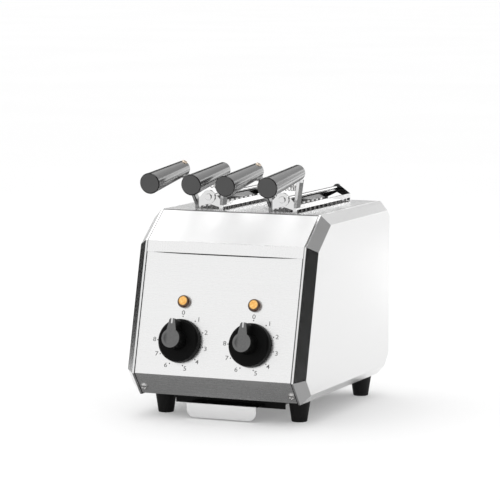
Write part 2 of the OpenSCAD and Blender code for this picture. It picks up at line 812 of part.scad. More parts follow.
module knob(side) color(c_black) on_panel(side * dial_pitch / 2, dial_up) difference() {
    union() {
        rotate_extrude($fn = 96) polygon([
            [0, knob_gap], [knob_d / 2, knob_gap],
            [knob_d / 2 - skirt_taper, skirt_h - skirt_round],
            [knob_d / 2 - skirt_taper - skirt_round, skirt_h], [0, skirt_h + skirt_crown]]);
        translate([0, 0, skirt_h - grip_sink])
            cylinder(d1 = grip_d + grip_taper, d2 = grip_d, h = knob_h - skirt_h + grip_sink);
        translate([0, 0, skirt_h - grip_sink]) linear_extrude(knob_h - skirt_h + grip_sink) polygon([
            [-pointer_root, 0], [pointer_root, 0], [pointer_end, pointer_r - pointer_round],
            [pointer_flat, pointer_r], [-pointer_flat, pointer_r],
            [-pointer_end, pointer_r - pointer_round]]);
    }
    rotate_extrude($fn = 96) polygon([
        [hub_d / 2, knob_gap - past], [knob_d / 2 - knob_wall, knob_gap - past],
        [knob_d / 2 - knob_wall, knob_gap + knob_hollow], [hub_d / 2, knob_gap + knob_hollow]]);
    cylinder(d = shaft_d + shaft_fit, h = bore_top);
}

module knob_left() knob(-1);

module knob_right() knob(1);

// Depth of a lens stem behind the panel's face, and rounding of a lens
stem_l = 8;
lens_round = 2;

module lamp_lens(side) color(c_amber) on_panel(side * dial_pitch / 2, lamp_up) rotate_extrude()
    polygon(concat(
        [[0, -stem_l], [lamp_stem_d / 2, -stem_l], [lamp_stem_d / 2, 0], [lamp_d / 2, 0]],
        [for (a = [0 : 22.5 : 90]) [
            lamp_d / 2 - lens_round * (1 - cos(a)), lamp_h - lens_round * (1 - sin(a))]],
        [[0, lamp_h]]));

module lamp_lens_left() lamp_lens(-1);

module lamp_lens_right() lamp_lens(1);

// Lamp holder: length and wall, with two blade contacts
holder_l = 16;
holder_wall = 2;
blade_l = 8;
blade_w = 4.8;
blade_t = 0.8;
blade_pitch = 6;

module lamp_holder(side) on_panel(side * dial_pitch / 2, lamp_up)
    translate([0, 0, -sheet]) {
        difference() {
            translate([0, 0, -holder_l]) cylinder(d = lamp_stem_d + 2 * holder_wall, h = holder_l);
            translate([0, 0, sheet - stem_l]) cylinder(d = lamp_stem_d + thread_play, h = stem_l);
        }
        for (s = [-1, 1]) translate([s * blade_pitch / 2, 0, -holder_l - blade_l]) block(
            [-blade_t / 2, -blade_w / 2, 0], [blade_t / 2, blade_w / 2, blade_l + fuse]);
    }

module lamp_holders() color(c_dark) for (side = [-1, 1]) lamp_holder(side);

// Wiring pieces

// Height of the terminals' bores above the base
terminal_z = 6;

module terminal_block() color(c_white) translate([0, block_front, base_z + sheet]) difference() {
    block([-block_w / 2, 0, 0], [block_w / 2, block_d, block_h]);
    for (i = [-1 : 1]) {
        bar_y(i * terminal_pitch, terminal_z, terminal_d, -past, block_d + past);
        for (y = [block_d / 4, block_d * 3 / 4]) translate([i * terminal_pitch, y, terminal_z])
            cylinder(d = terminal_screw_d, h = block_h - terminal_z + past);
    }
}

// Diameters of the gland's cone, and Y of the rear panel's two faces
gland_cone_d = [19, 15];
rear_out = body_d - recess;
rear_in = rear_out - sheet;

module cable_gland() color(c_black) difference() {
    union() {
        translate([gland_x, rear_out, z_under + gland_z]) rotate([-90, 0, 0]) {
            cylinder(d = gland_hex, h = gland_hex_h, $fn = 6);
            translate([0, 0, gland_hex_h - fuse])
                cylinder(d1 = gland_cone_d[0], d2 = gland_cone_d[1], h = gland_l - gland_hex_h + fuse);
        }
        bar_y(gland_x, z_under + gland_z, gland_thread_d, rear_in - gland_thread_l, rear_out + fuse);
    }
    bar_y(gland_x, z_under + gland_z, cord_d, rear_in - gland_thread_l - past, rear_out + gland_l + past);
}

module gland_nut() color(c_black) difference() {
    translate([gland_x, rear_in - gland_nut_h, z_under + gland_z]) rotate([-90, 0, 0])
        cylinder(d = gland_hex, h = gland_nut_h, $fn = 6);
    bar_y(gland_x, z_under + gland_z, gland_thread_d + thread_play, rear_in - gland_nut_h - past, rear_out);
}

// Tongs, drawn with the middle of the tong at X = 0

// Leg: how far it lies outside the handle's axis and ends below it, and its width
leg_out = 0.8;
leg_drop = 7.3;
leg_w = 12;
// Leg: overlap on the rail, height of its end, and its front flange below and above
leg_root = 3;
leg_end = 2;
leg_flange = [3, 3.4];
// Handle's tab: radius round the handle's screw, half width and reach below it
mount_r = 5.5;
mount_x = 3.4;
mount_drop = 12;
// Spring's boss: play in the coil, length inside the coil and seat in the leg
boss_play = 0.35;
boss_l = 4;
boss_sink = 0.4;
rail_top_z = rail_z + rail_h;
leg_x = handle_x + leg_out;
leg_top = handle_z - leg_drop;
spring_z = pivot_z + spring_up;
// Share of the leg's height at which a level lies
function leg_at(z) = (z - rail_top_z) / (leg_top - rail_top_z);
// Inner face of a leg at a level
function leg_in(z) = rail_x - jaw_t + leg_at(z) * (leg_x - rail_x);
spring_end = leg_in(spring_z - spring_d / 2) - 2 * move_gap;
// The spring lies behind the front flange of the inner jaw
spring_low = spring_z - spring_d / 2;
flange_y = jaw_b[0] + leg_at(spring_low) * (handle_back - jaw_b[0]) + jaw_t;
spring_y = flange_y + spring_d / 2 + 2 * move_gap;
boss_r = spring_d / 2 - spring_wire - boss_play;

// Foot at the ear's outer end: its width
ear_foot = 4;
// Ear's outer corners above and below
ear_p = [rail_x, rail_top_z - pivot_z];
ear_q = [rail_x - ear_foot, rail_z - pivot_z];

// Ear with a round end of radius r, which the edges from the corners touch
module ear(y, r) translate([0, 0, pivot_z]) difference() {
    above = atan2(ear_p[1], ear_p[0]) + acos(r / norm(ear_p));
    below = atan2(ear_q[1], ear_q[0]) - acos(r / norm(ear_q));
    union() {
        bar_y(0, 0, 2 * r, y, y + jaw_t);
        run_y(y, y + jaw_t) polygon([
            r * [cos(below), sin(below)], ear_q, [ear_q[0], ear_low - pivot_z],
            [rail_x, ear_low - pivot_z], ear_p, r * [cos(above), sin(above)]]);
    }
    bar_y(0, 0, rod_d + 2 * rod_play, y - past, y + jaw_t + past);
}

// Frame at a handle's rear end: local Y runs back along the handle
module at_handle() {
    translate([handle_x, handle_back, handle_z]) rotate([handle_tilt, 0, 0]) children();
}

// Right jaw: two ears, a rail, a leg with its front flange and the handle's tab
module jaw(y) {
    ear(y[0], ear_r);
    ear(y[1] - jaw_t, rear_ear_r);
    block([rail_x - jaw_t, y[0], rail_z], [rail_x, y[1], rail_top_z]);
    hull() {
        block([rail_x - jaw_t, y[0], rail_top_z - leg_root], [rail_x, y[0] + leg_w, rail_top_z]);
        block([leg_x - jaw_t, handle_back, leg_top - leg_end], [leg_x, handle_back + leg_w, leg_top]);
    }
    difference() {
        union() {
            hull() {
                block([rail_x - leg_flange[0], y[0], rail_top_z - leg_root],
                    [rail_x, y[0] + jaw_t, rail_top_z]);
                block([leg_x - leg_flange[1], handle_back, leg_top - leg_end],
                    [leg_x, handle_back + jaw_t, leg_top]);
            }
            at_handle() bar_y(0, 0, 2 * mount_r, 0, jaw_t);
            at_handle() block([-mount_x, 0, -mount_drop], [mount_x, jaw_t, 0]);
        }
        at_handle() bar_y(0, 0, handle_screw_d + hole_play, -past, jaw_t + past);
        at_handle() block([-handle_rear_d, -handle_rear_d, -handle_rear_d],
            [handle_rear_d, 0, handle_rear_d]);
    }
    translate([spring_end - boss_l, spring_y, spring_z]) rotate([0, 90, 0])
        cylinder(r = boss_r, h = leg_in(spring_z + boss_r) + boss_sink - spring_end + boss_l);
}

// Grid: distance of its outer wires from the slot's ends, and how far they end below the rail's top
grid_edge = 6;
wire_short = 3.5;
// Cross wires: places of the lowest and highest, and their reach past the outer wires
tie_lift = 12;
tie_drop = 18;
tie_past = 3;

grid_y = [slot_front + grid_edge, slot_rear - grid_edge];
grid_low = z_top - grid_deep;

module grid() {
    foot_z = grid_low + rest_t;
    step = (grid_y[1] - grid_y[0]) / (wire_n - 1);
    for (i = [0 : wire_n - 1])
        translate([wire_x, grid_y[0] + i * step, foot_z]) wire(wire_d, rail_top_z - wire_short - foot_z);
    for (z = [grid_low + tie_lift, (grid_low + z_top) / 2, z_top - tie_drop])
        translate([wire_x + wire_d - fuse, grid_y[0] - tie_past, z]) rotate([-90, 0, 0])
            wire(wire_d, grid_y[1] - grid_y[0] + 2 * tie_past);
}

// Strip under the wires of a grid, on which the bread rests
module rest() {
    block([rest_gap / 2, grid_y[0] - tie_past, grid_low],
        [wire_x + wire_d / 2, grid_y[1] + tie_past, grid_low + rest_t]);
}

// Handle: chamfer of its front edge, and room at the end of its bore
handle_edge = 0.8;
bore_room = 2;

module handle() at_handle() rotate([90, 0, 0]) difference() {
    rotate_extrude($fn = 96) polygon(concat(
        [[0, 0]],
        [for (a = [0 : 9 : 90]) [
            handle_rear_d / 2 - handle_round * (1 - sin(a)), handle_round * (1 - cos(a))]],
        [[handle_front_d / 2, handle_l - handle_edge], [handle_front_d / 2 - handle_edge, handle_l],
            [0, handle_l]]));
    translate([0, 0, -past])
        cylinder(d = handle_screw_d + thread_play, h = handle_screw_l + bore_room + past);
}

module handle_screw() at_handle() {
    bar_y(0, 0, handle_screw_d, -handle_screw_l, jaw_t + fuse);
    bar_y(0, 0, handle_head_d, jaw_t, jaw_t + handle_head_h);
}

// Riveted heads of the hinge rod: height, and how far they reach past the rod
rod_head_h = 1.6;
rod_head_r = 1.1;

module rod() {
    y0 = ear_front - move_gap;
    y1 = ear_rear + move_gap;
    bar_y(0, pivot_z, rod_d, y0 - rod_head_h, y1 + rod_head_h);
    bar_y(0, pivot_z, rod_d + 2 * rod_head_r, y0 - rod_head_h, y0);
    bar_y(0, pivot_z, rod_d + 2 * rod_head_r, y1, y1 + rod_head_h);
}

// Coil spring along X: points of its middle line, from end to end
coil_r = (spring_d - spring_wire) / 2;
coil_l = 2 * (spring_end - spring_wire);
coil_n = 8 * spring_turns;
coil = [for (i = [0 : coil_n]) let (a = 45 * i)
    [coil_l * (i / coil_n - 0.5), coil_r * cos(a), coil_r * sin(a)]];
coil_line = concat([coil[0] - [spring_wire, 0, 0]], coil, [coil[coil_n] + [spring_wire, 0, 0]]);
// Rings of six points round the middle line
function coil_ring(i) = let (
        e = len(coil_line) - 1,
        p = coil_line[i],
        d = coil_line[min(i + 1, e)] - coil_line[max(i - 1, 0)],
        t = d / norm(d),
        q = [0, p[1], p[2]] / coil_r,
        m = q - (q * t) * t,
        u = m / norm(m),
        v = cross(t, u))
    [for (k = [0 : 5]) p + spring_wire / 2 * (cos(60 * k) * u + sin(60 * k) * v)];
// Least free space between points of the wire that lie more than half a turn apart
coil_gap = min([for (i = [0 : coil_n - 5]) for (j = [i + 5 : coil_n])
    norm(coil[i] - coil[j])]) - spring_wire;
echo(least_gap_of_the_spring_to_itself = coil_gap);

module spring() {
    e = len(coil_line);
    sides = [for (j = [0 : e - 2]) for (k = [0 : 5]) for (half = [0, 1])
        let (a = 6 * j + k, b = 6 * j + (k + 1) % 6)
        half == 0 ? [a, a + 6, b + 6] : [a, b + 6, b]];
    first = [for (k = [1 : 4]) [0, k, k + 1]];
    last = [for (k = [1 : 4]) [6 * e - 6, 6 * e - 6 + k + 1, 6 * e - 6 + k]];
    translate([0, spring_y, spring_z]) polyhedron(
        points = [for (i = [0 : e - 1]) each coil_ring(i)],
        faces = concat(sides, first, last));
}

module tong_at(side) {
    translate([side * tong_x, 0, 0]) children();
}

module left_tong_rod() color(c_steel) tong_at(-1) rod();
module left_tong_spring() color(c_steel) tong_at(-1) spring();
module left_tong_jaw_a() color(c_steel) tong_at(-1) mirror([1, 0, 0]) jaw(jaw_a);
module left_tong_grid_a() color(c_steel) tong_at(-1) mirror([1, 0, 0]) grid();
module left_tong_rest_a() color(c_steel) tong_at(-1) mirror([1, 0, 0]) rest();
module left_tong_handle_a() color(c_black) tong_at(-1) mirror([1, 0, 0]) handle();
module left_tong_screw_a() color(c_steel) tong_at(-1) mirror([1, 0, 0]) handle_screw();
module left_tong_jaw_b() color(c_steel) tong_at(-1) jaw(jaw_b);
module left_tong_grid_b() color(c_steel) tong_at(-1) grid();
module left_tong_rest_b() color(c_steel) tong_at(-1) rest();
module left_tong_handle_b() color(c_black) tong_at(-1) handle();
module left_tong_screw_b() color(c_steel) tong_at(-1) handle_screw();
module right_tong_rod() color(c_steel) tong_at(1) rod();
module right_tong_spring() color(c_steel) tong_at(1) spring();
module right_tong_jaw_a() color(c_steel) tong_at(1) mirror([1, 0, 0]) jaw(jaw_a);
module right_tong_grid_a() color(c_steel) tong_at(1) mirror([1, 0, 0]) grid();
module right_tong_rest_a() color(c_steel) tong_at(1) mirror([1, 0, 0]) rest();
module right_tong_handle_a() color(c_black) tong_at(1) mirror([1, 0, 0]) handle();
module right_tong_screw_a() color(c_steel) tong_at(1) mirror([1, 0, 0]) handle_screw();
module right_tong_jaw_b() color(c_steel) tong_at(1) jaw(jaw_b);
module right_tong_grid_b() color(c_steel) tong_at(1) grid();
module right_tong_rest_b() color(c_steel) tong_at(1) rest();
module right_tong_handle_b() color(c_black) tong_at(1) handle();
module right_tong_screw_b() color(c_steel) tong_at(1) handle_screw();

place() base_plate();
place() front_panel();
place() top_cover();
place() rear_panel();
place() side_panel_left();
place() side_panel_right();
place() panel_screws();
place() side_panel_nuts();
place() foot_front_left();
place() foot_front_right();
place() foot_rear_left();
place() foot_rear_right();
place() foot_screws();
place() tray_rail_left();
place() tray_rail_right();
place() front_bulkhead();
place() rear_bulkhead();
place() reflectors();
place() heater_tubes();
place() heater_caps();
place() guard_wires_left();
place() guard_wires_right();
place() timer_left();
place() timer_right();
place() timer_screws();
place() lamp_lens_left();
place() lamp_lens_right();
place() lamp_holders();
place() terminal_block();
place() cable_gland();
place() gland_nut();
place() crumb_tray();
place() timer_shaft_left();
place() timer_shaft_right();
place() knob_left();
place() knob_right();
place() left_tong_rod();
place() left_tong_spring();
place() left_tong_jaw_a();
place() left_tong_grid_a();
place() left_tong_rest_a();
place() left_tong_handle_a();
place() left_tong_screw_a();
place() left_tong_jaw_b();
place() left_tong_grid_b();
place() left_tong_rest_b();
place() left_tong_handle_b();
place() left_tong_screw_b();
place() right_tong_rod();
place() right_tong_spring();
place() right_tong_jaw_a();
place() right_tong_grid_a();
place() right_tong_rest_a();
place() right_tong_handle_a();
place() right_tong_screw_a();
place() right_tong_jaw_b();
place() right_tong_grid_b();
place() right_tong_rest_b();
place() right_tong_handle_b();
place() right_tong_screw_b();
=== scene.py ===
"""Looks of a two-slot sandwich toaster with two lift-out tongs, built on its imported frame."""

import json
import math

import bpy
from mathutils import Matrix, Vector

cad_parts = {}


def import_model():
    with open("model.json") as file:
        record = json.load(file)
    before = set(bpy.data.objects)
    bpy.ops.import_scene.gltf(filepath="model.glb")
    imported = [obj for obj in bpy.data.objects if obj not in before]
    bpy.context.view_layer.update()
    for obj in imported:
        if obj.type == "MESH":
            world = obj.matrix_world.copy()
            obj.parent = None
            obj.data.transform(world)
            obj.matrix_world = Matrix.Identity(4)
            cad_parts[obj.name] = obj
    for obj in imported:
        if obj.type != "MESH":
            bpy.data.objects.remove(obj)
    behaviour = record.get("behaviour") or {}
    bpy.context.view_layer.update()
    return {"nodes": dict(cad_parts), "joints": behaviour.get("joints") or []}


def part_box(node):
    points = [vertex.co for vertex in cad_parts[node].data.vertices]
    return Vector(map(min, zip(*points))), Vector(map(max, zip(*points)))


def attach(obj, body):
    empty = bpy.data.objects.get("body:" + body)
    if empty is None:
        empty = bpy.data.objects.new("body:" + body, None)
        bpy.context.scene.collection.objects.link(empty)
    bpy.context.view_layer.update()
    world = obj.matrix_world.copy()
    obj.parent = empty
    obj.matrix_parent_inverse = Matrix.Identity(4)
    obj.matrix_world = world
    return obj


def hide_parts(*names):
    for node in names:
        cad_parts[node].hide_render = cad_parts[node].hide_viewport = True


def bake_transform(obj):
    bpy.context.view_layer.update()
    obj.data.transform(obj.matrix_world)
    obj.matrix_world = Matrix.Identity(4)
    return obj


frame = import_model()
nodes = frame["nodes"]
joints = {j["name"]: j for j in frame["joints"]}
scene = bpy.context.scene

# Units, directions and names
MM = 0.001
RIGHT = Vector((1, 0, 0))
BACK = Vector((0, 1, 0))
SIDES = ("left", "right")
JAWS = {"a": -1, "b": 1}

# Edges, and how close two points, faces or directions count as one
EDGE_TURN = math.radians(25)
EDGE_SEGMENTS = 2
FLAT_TURN = math.radians(0.4)
WELD_GAP = 0.004 * MM
SAME_PLACE = 0.001 * MM
SAME_DIGITS = 6
SORT_DIGITS = 4
SAME_WAY = 0.999

# Wire grids of the tongs and guards beside the slots
WIRE_SIDES = 12
GRID_WIRE = 2.5 * MM
GRID_WIRES = 12
GRID_TIE_PAST = 3 * MM
GRID_TIE_LIFT = 10.5 * MM
GRID_TIE_DROP = 22.5 * MM
GRID_TIE_MID = 74.5 * MM
GRID_SINK = 0.2 * MM
GRID_SHORT = 1.3 * MM
GUARD_ROD = 2.8 * MM
GUARD_WIRE = 2.2 * MM
GUARD_WIRES = 7
GUARD_LEAD = 21 * MM
GUARD_TAIL = 22.2 * MM

# Springs of the tongs, whose turns lie closer at the ends
SPRING_WIRE = 1.2 * MM
SPRING_TURNS = 10
SPRING_STEPS = 24
SPRING_SIDES = 10
SPRING_EASE = (0.035, 0.09)

# Heater coils inside the tubes
COIL_D = 5.4 * MM
COIL_WIRE = 0.8 * MM
COIL_TURNS = 44
COIL_STEPS = 12
COIL_SIDES = 6
COIL_LEAD = 12 * MM

# Dials, whose numbers stand a little beside their dots
DIAL_STEPS = 8
DIAL_SWEEP = math.radians(joints["left_timer_turn"]["range_deg"][1])
DOT_RADIUS = 27.1 * MM
DOT_D = 1.5 * MM
DOT_STEPS = 20
DIGIT_RADIUS = 30.9 * MM
DIGIT_TURNS = [math.radians(a) for a in (0, 4, 2.5, 2, 0, -4.5, 6, 4, 0.5)]
DIGIT_STRETCH = 1.2
DIGIT_SIZE = 6.8 * MM
DIGIT_WEIGHT = 0.03 * MM
DIGIT_CURVE = 4
INK_RISE = 0.06 * MM

# Knobs, with an index line, and painted shade standing for a dished face on the grip
KNOB_H = 28 * MM
POINTER_R = 21.5 * MM
INDEX_W = 1.7 * MM
INDEX_L = 5.5 * MM
INDEX_DROP = 5 * MM
INDEX_RISE = 0.12 * MM
KNOB_FACE = 0.5 * MM
DISH_R = 8 * MM
DISH_SHIFT = 0.5 * MM
DISH_SOFT = 1.6 * MM

# Panel screws: a domed head with a cross recess
SCREW_HEAD = 8.4 * MM
SCREW_RISE = 2.2 * MM
SCREW_DOME = 0.45 * SCREW_RISE
SCREW_L = 5 * MM
SCREW_D = 4 * MM
SCREW_STEPS = 64
SCREW_RINGS = 22
CROSS_REACH = 2.6 * MM
CROSS_HALF = 0.7 * MM
CROSS_DEEP = 1.1 * MM
CROSS_SOFT = 0.25 * MM

# Directions square to the lower chamfers, which carry the screws
CHAMFER_DEPTH = 21 * MM
CHAMFER_HEIGHT = 26 * MM
FRONT_OUT = Vector((0, -CHAMFER_HEIGHT, -CHAMFER_DEPTH)).normalized()
REAR_OUT = Vector((0, 1, -1)).normalized()

# Set screws in the handles
SET_SCREW_D = 6.2 * MM
SET_SCREW_L = 2 * MM
SET_SCREW_REACH = 8.9 * MM
SET_SCREW_BACK = 8 * MM
SET_SCREW_TURN = math.radians(62)
SET_SCREW_RISE = 0.35 * MM
SET_SCREW_EDGE = 0.4 * MM
SET_SCREW_STEPS = 32
SOCKET_D = 0.32 * SET_SCREW_D
SOCKET_DEEP = 0.8 * MM

# Dark strip under the cover's lip as painted shadow, and strip across the front of the tray
LIP_SHADOW_H = 0.95 * MM
LIP_SHADOW_DEEP = 0.9 * MM
LIP_SHADOW_TUCK = 0.4 * MM
LIP_SHADOW_SHORT = 8 * MM
LIP_SHADOW_STEPS = 24
LIP_SHADOW_FULLNESS = 4
STRIP_SHORT = 0.3 * MM
STRIP_T = 0.9 * MM
STRIP_H = 12 * MM
STRIP_SINK = 0.3 * MM
STRIP_EDGE = 0.3 * MM

# Places of the painted light and shade at seams, folds, lenses, pans and tong faces, and of the handle's
# dull rim and the cover's slopes, as lengths or as shares of a normal
LENS_CLEAR = 4.2 * MM
LENS_RIM = 5.2 * MM
PAN_BACK = 2.5 * MM
SEAM_SHADE_W = 1.5 * MM
SEAM_SHADE_SOFT = 0.3 * MM
FOLD_BACK = 0.5 * MM
FOLD_W = 0.8 * MM
FOLD_DEEP = 0.1 * MM
INNER_FACE = 5 * MM
LEFT_LEG = 11.5 * MM
EAR_DEEP = 6 * MM
LEG_LEAN = (0.06, 0.4)
LEG_ASIDE = 0.85
FACES_FRONT = -0.9
RIM_TURN = (0.3, 0.95)
SLOPE_TURN = (0.5, 0.95)


# Mesh helpers
def round_turn(steps):
    """Angles of one full turn."""
    return [2 * math.pi * k / steps for k in range(steps)]


def ring(place, radius, height, steps):
    """Points of a circle round the local Z of place."""
    return [place @ Vector((radius * math.cos(a), radius * math.sin(a), height)) for a in round_turn(steps)]


class Shape:
    """Points and faces of one piece, gathered from tubes, turned forms and blocks."""

    def __init__(self):
        self.points = []
        self.faces = []

    def add(self, points, faces):
        start = len(self.points)
        self.points.extend(Vector(p) for p in points)
        self.faces.extend([start + i for i in f] for f in faces)

    def rings(self, rings):
        """Closed skin through equal rings, with flat ends."""
        n = len(rings[0])
        faces = []
        for j in range(len(rings) - 1):
            for i in range(n):
                k = (i + 1) % n
                faces.append((j * n + i, j * n + k, (j + 1) * n + k, (j + 1) * n + i))
        faces.append(tuple(reversed(range(n))))
        faces.append(tuple((len(rings) - 1) * n + i for i in range(n)))
        self.add([p for r in rings for p in r], faces)

    def tube(self, path, diameter, sides=WIRE_SIDES):
        """Round wire along a path, carried without twist."""
        path = [Vector(p) for p in path]
        side = None
        rings = []
        for i, p in enumerate(path):
            ahead = path[min(i + 1, len(path) - 1)] - path[max(i - 1, 0)]
            ahead.normalize()
            if side is None:
                side = ahead.orthogonal()
            side = (side - ahead * side.dot(ahead)).normalized()
            up = ahead.cross(side)
            spokes = [side * math.cos(a) + up * math.sin(a) for a in round_turn(sides)]
            rings.append([p + diameter / 2 * spoke for spoke in spokes])
        self.rings(rings)

    def lathe(self, profile, place, steps):
        """Form turned round the local Z of place; profile holds (radius, height) with radii above 0."""
        self.rings([ring(place, radius, height, steps) for radius, height in profile])

    def block(self, low, high, place):
        """Box between two corners of the local frame."""
        corner = [(x, y, z) for z in (low[2], high[2]) for x, y in (
            (low[0], low[1]), (high[0], low[1]), (high[0], high[1]), (low[0], high[1]))]
        corner = [place @ Vector(c) for c in corner]
        self.rings([corner[:4], corner[4:]])

    def build(self, name, body, material, smooth=True):
        """Makes the piece, rides it on a body if one is named and gives it its finish."""
        mesh = bpy.data.meshes.new(name)
        mesh.from_pydata(self.points, [], self.faces)
        mesh.validate()
        mesh.polygons.foreach_set("use_smooth", [smooth] * len(mesh.polygons))
        mesh.materials.append(material)
        piece = bpy.data.objects.new(name, mesh)
        scene.collection.objects.link(piece)
        if body:
            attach(piece, body)
        return piece


def edges(piece, width):
    """Small rounded edges with even shading."""
    weld = piece.modifiers.new("weld", "WELD")
    weld.merge_threshold = WELD_GAP
    flat = piece.modifiers.new("flat", "DECIMATE")
    flat.decimate_type = "DISSOLVE"
    flat.angle_limit = FLAT_TURN
    bevel = piece.modifiers.new("bevel", "BEVEL")
    bevel.width = width
    bevel.segments = EDGE_SEGMENTS
    bevel.limit_method = "ANGLE"
    bevel.angle_limit = EDGE_TURN
    bevel.use_clamp_overlap = True
    normal = piece.modifiers.new("normal", "WEIGHTED_NORMAL")
    normal.keep_sharp = True


def middle_of(points):
    """Mean of some points."""
    return sum(points, Vector()) / len(points)


def box_of(points):
    """Lowest and highest corner of some points."""
    low = Vector(map(min, zip(*points)))
    high = Vector(map(max, zip(*points)))
    return low, high


def islands(node):
    """Points of each separate solid of a CAD node."""
    mesh = nodes[node].data
    key = [tuple(round(c, SAME_DIGITS) for c in v.co) for v in mesh.vertices]
    parent = {k: k for k in key}

    def root(k):
        while parent[k] != k:
            parent[k] = parent[parent[k]]
            k = parent[k]
        return k

    for edge in mesh.edges:
        a, b = (root(key[i]) for i in edge.vertices)
        parent[a] = b
    groups = {}
    for k in parent:
        groups.setdefault(root(k), []).append(Vector(k))
    return sorted(groups.values(), key=lambda g: tuple(round(c, SORT_DIGITS) for c in middle_of(g)))


def frame_at(origin, x, y):
    """Local frame with the given X and Y directions."""
    x, y = Vector(x).normalized(), Vector(y).normalized()
    z = x.cross(y)
    m = Matrix((x, y, z)).transposed().to_4x4()
    m.translation = origin
    return m


def panel_out():
    """Direction out of the front panel, along the timers' shafts."""
    return -Vector(joints["left_timer_turn"]["axis"])


def dial_frame(side):
    """Frame on the front panel at a dial: Y up the panel, Z out of it."""
    return frame_at(Vector(joints[f"{side}_timer_turn"]["pos_m"]), RIGHT, panel_out().cross(RIGHT))


# Material helpers
class Look:
    """A node material with one Principled shader and short calls for its nodes."""

    def __init__(self, name, **sockets):
        self.material = bpy.data.materials.new(name)
        self.material.use_nodes = True
        self.tree = self.material.node_tree
        self.shader = self.tree.nodes["Principled BSDF"]
        place = self.node("ShaderNodeTexCoord").outputs
        self.coords = place["Object"]
        self.facing = place["Normal"]
        self.put(**sockets)

    def node(self, kind, inputs=None, **settings):
        made = self.tree.nodes.new(kind)
        for setting, value in settings.items():
            setattr(made, setting, value)
        for socket, value in (inputs or {}).items():
            self.set(made, socket, value)
        return made

    def set(self, node, socket, value):
        target = node.inputs[socket]
        if isinstance(value, bpy.types.NodeSocket):
            self.tree.links.new(value, target)
        else:
            target.default_value = value

    def put(self, **sockets):
        """Sets sockets of the shader, named with _ for a space."""
        for socket, value in sockets.items():
            self.set(self.shader, socket.replace("_", " "), value)

    def fed(self, socket):
        """What feeds a socket of the shader so far."""
        return self.shader.inputs[socket].links[0].from_socket

    def stretched(self, scale):
        """Object coordinates, scaled along each axis."""
        return self.node("ShaderNodeMapping", {"Vector": self.coords, "Scale": scale}).outputs[0]

    def noise(self, scale, detail, rough, vector=None):
        made = self.node("ShaderNodeTexNoise", {
            "Vector": vector or self.coords, "Scale": scale, "Detail": detail, "Roughness": rough})
        return made.outputs["Fac"]

    def span(self, value, low, high, source=(0.3, 0.7)):
        """Moves a range, unless another is named that of a noise, to low..high."""
        made = self.node("ShaderNodeMapRange", {
            "Value": value, "From Min": source[0], "From Max": source[1],
            "To Min": low, "To Max": high})
        return made.outputs[0]

    def maths(self, operation, a, b=0.0):
        return self.node("ShaderNodeMath", {0: a, 1: b}, operation=operation).outputs[0]

    def add(self, a, b):
        return self.maths("ADD", a, b)

    def times(self, a, b):
        return self.maths("MULTIPLY", a, b)

    def over(self, value, limit):
        return self.maths("GREATER_THAN", value, limit)

    def under(self, value, limit):
        return self.maths("LESS_THAN", value, limit)

    def between(self, value, limits):
        """1 where a value lies between two limits, otherwise 0."""
        return self.times(self.over(value, limits[0]), self.under(value, limits[1]))

    def vectors(self, operation, *inputs):
        """Outputs of one operation on vectors."""
        return self.node("ShaderNodeVectorMath", dict(enumerate(inputs)), operation=operation).outputs

    def along(self, vector, axis):
        """One coordinate of a vector."""
        return self.node("ShaderNodeSeparateXYZ", {0: vector}).outputs[axis]

    def mix(self, share, a, b):
        made = self.node("ShaderNodeMix", {0: share, 6: a, 7: b}, data_type="RGBA")
        return made.outputs[2]

    def shade(self, where, level, share=1.0):
        """Moves the base colour by a share to a grey level, where a mask is above 0."""
        self.put(Base_Color=self.mix(self.times(where, share), self.fed("Base Color"), rgb(level)))

    def bump(self, height, strength, distance):
        made = self.node("ShaderNodeBump", {
            "Height": height, "Strength": strength, "Distance": distance})
        self.put(Normal=made.outputs[0])


def rgb(level, warm=0.0):
    """A grey with a slight warm cast."""
    return (level * (1 + warm), level, level * (1 - warm), 1)


def steel(name, level, rough, brush, strength=0.10, smears=0.04, depth=0.02 * MM):
    """Brushed stainless sheet: streaks along the brush, faint clouding and handling marks."""
    fine_share, coarse_scale = 0.65, 0.22
    dark_streak, cloudy, cloud_share = 0.96, 0.92, 0.12
    smoother, rougher = 0.05, 0.06
    look = Look(name, Metallic=1.0)
    fine = look.noise(1.0, detail=4, rough=0.65, vector=look.stretched(brush))
    wide = look.stretched([b * coarse_scale for b in brush])
    coarse = look.noise(1.0, detail=2, rough=0.5, vector=wide)
    streak = look.add(look.times(fine, fine_share), look.times(coarse, 1 - fine_share))
    cloud = look.noise(9.0, detail=3, rough=0.5)
    marks = look.noise(38.0, detail=5, rough=0.6)
    tone = look.mix(look.span(streak, 0, 1), rgb(level * dark_streak), rgb(level))
    look.put(Base_Color=look.mix(look.span(cloud, 0, cloud_share), tone, rgb(level * cloudy, warm=0.01)))
    smear = look.times(look.span(marks, -smears, smears), look.span(cloud, 0.2, 1.0))
    look.put(Roughness=look.add(look.span(streak, rough - smoother, rough + rougher), smear))
    look.bump(streak, strength, depth)
    return look


def bright_wire(name, level, rough, tint=0.0):
    """Drawn and plated wire with fine lengthwise drawing marks and dull patches."""
    dull_level, dull_tint = 0.86, 0.02
    smoother, rougher, grain = 0.04, 0.08, 0.02
    look = Look(name, Metallic=1.0)
    drawn = look.noise(900.0, detail=3, rough=0.6)
    dull = look.noise(45.0, detail=4, rough=0.6)
    patch = rgb(level * dull_level, tint + dull_tint)
    look.put(Base_Color=look.mix(look.span(dull, 0, 1), patch, rgb(level, tint)))
    look.put(Roughness=look.add(look.span(dull, rough - smoother, rough + rougher),
                                look.span(drawn, -grain, grain)))
    look.bump(drawn, strength=0.08, distance=0.03 * MM)
    return look.material


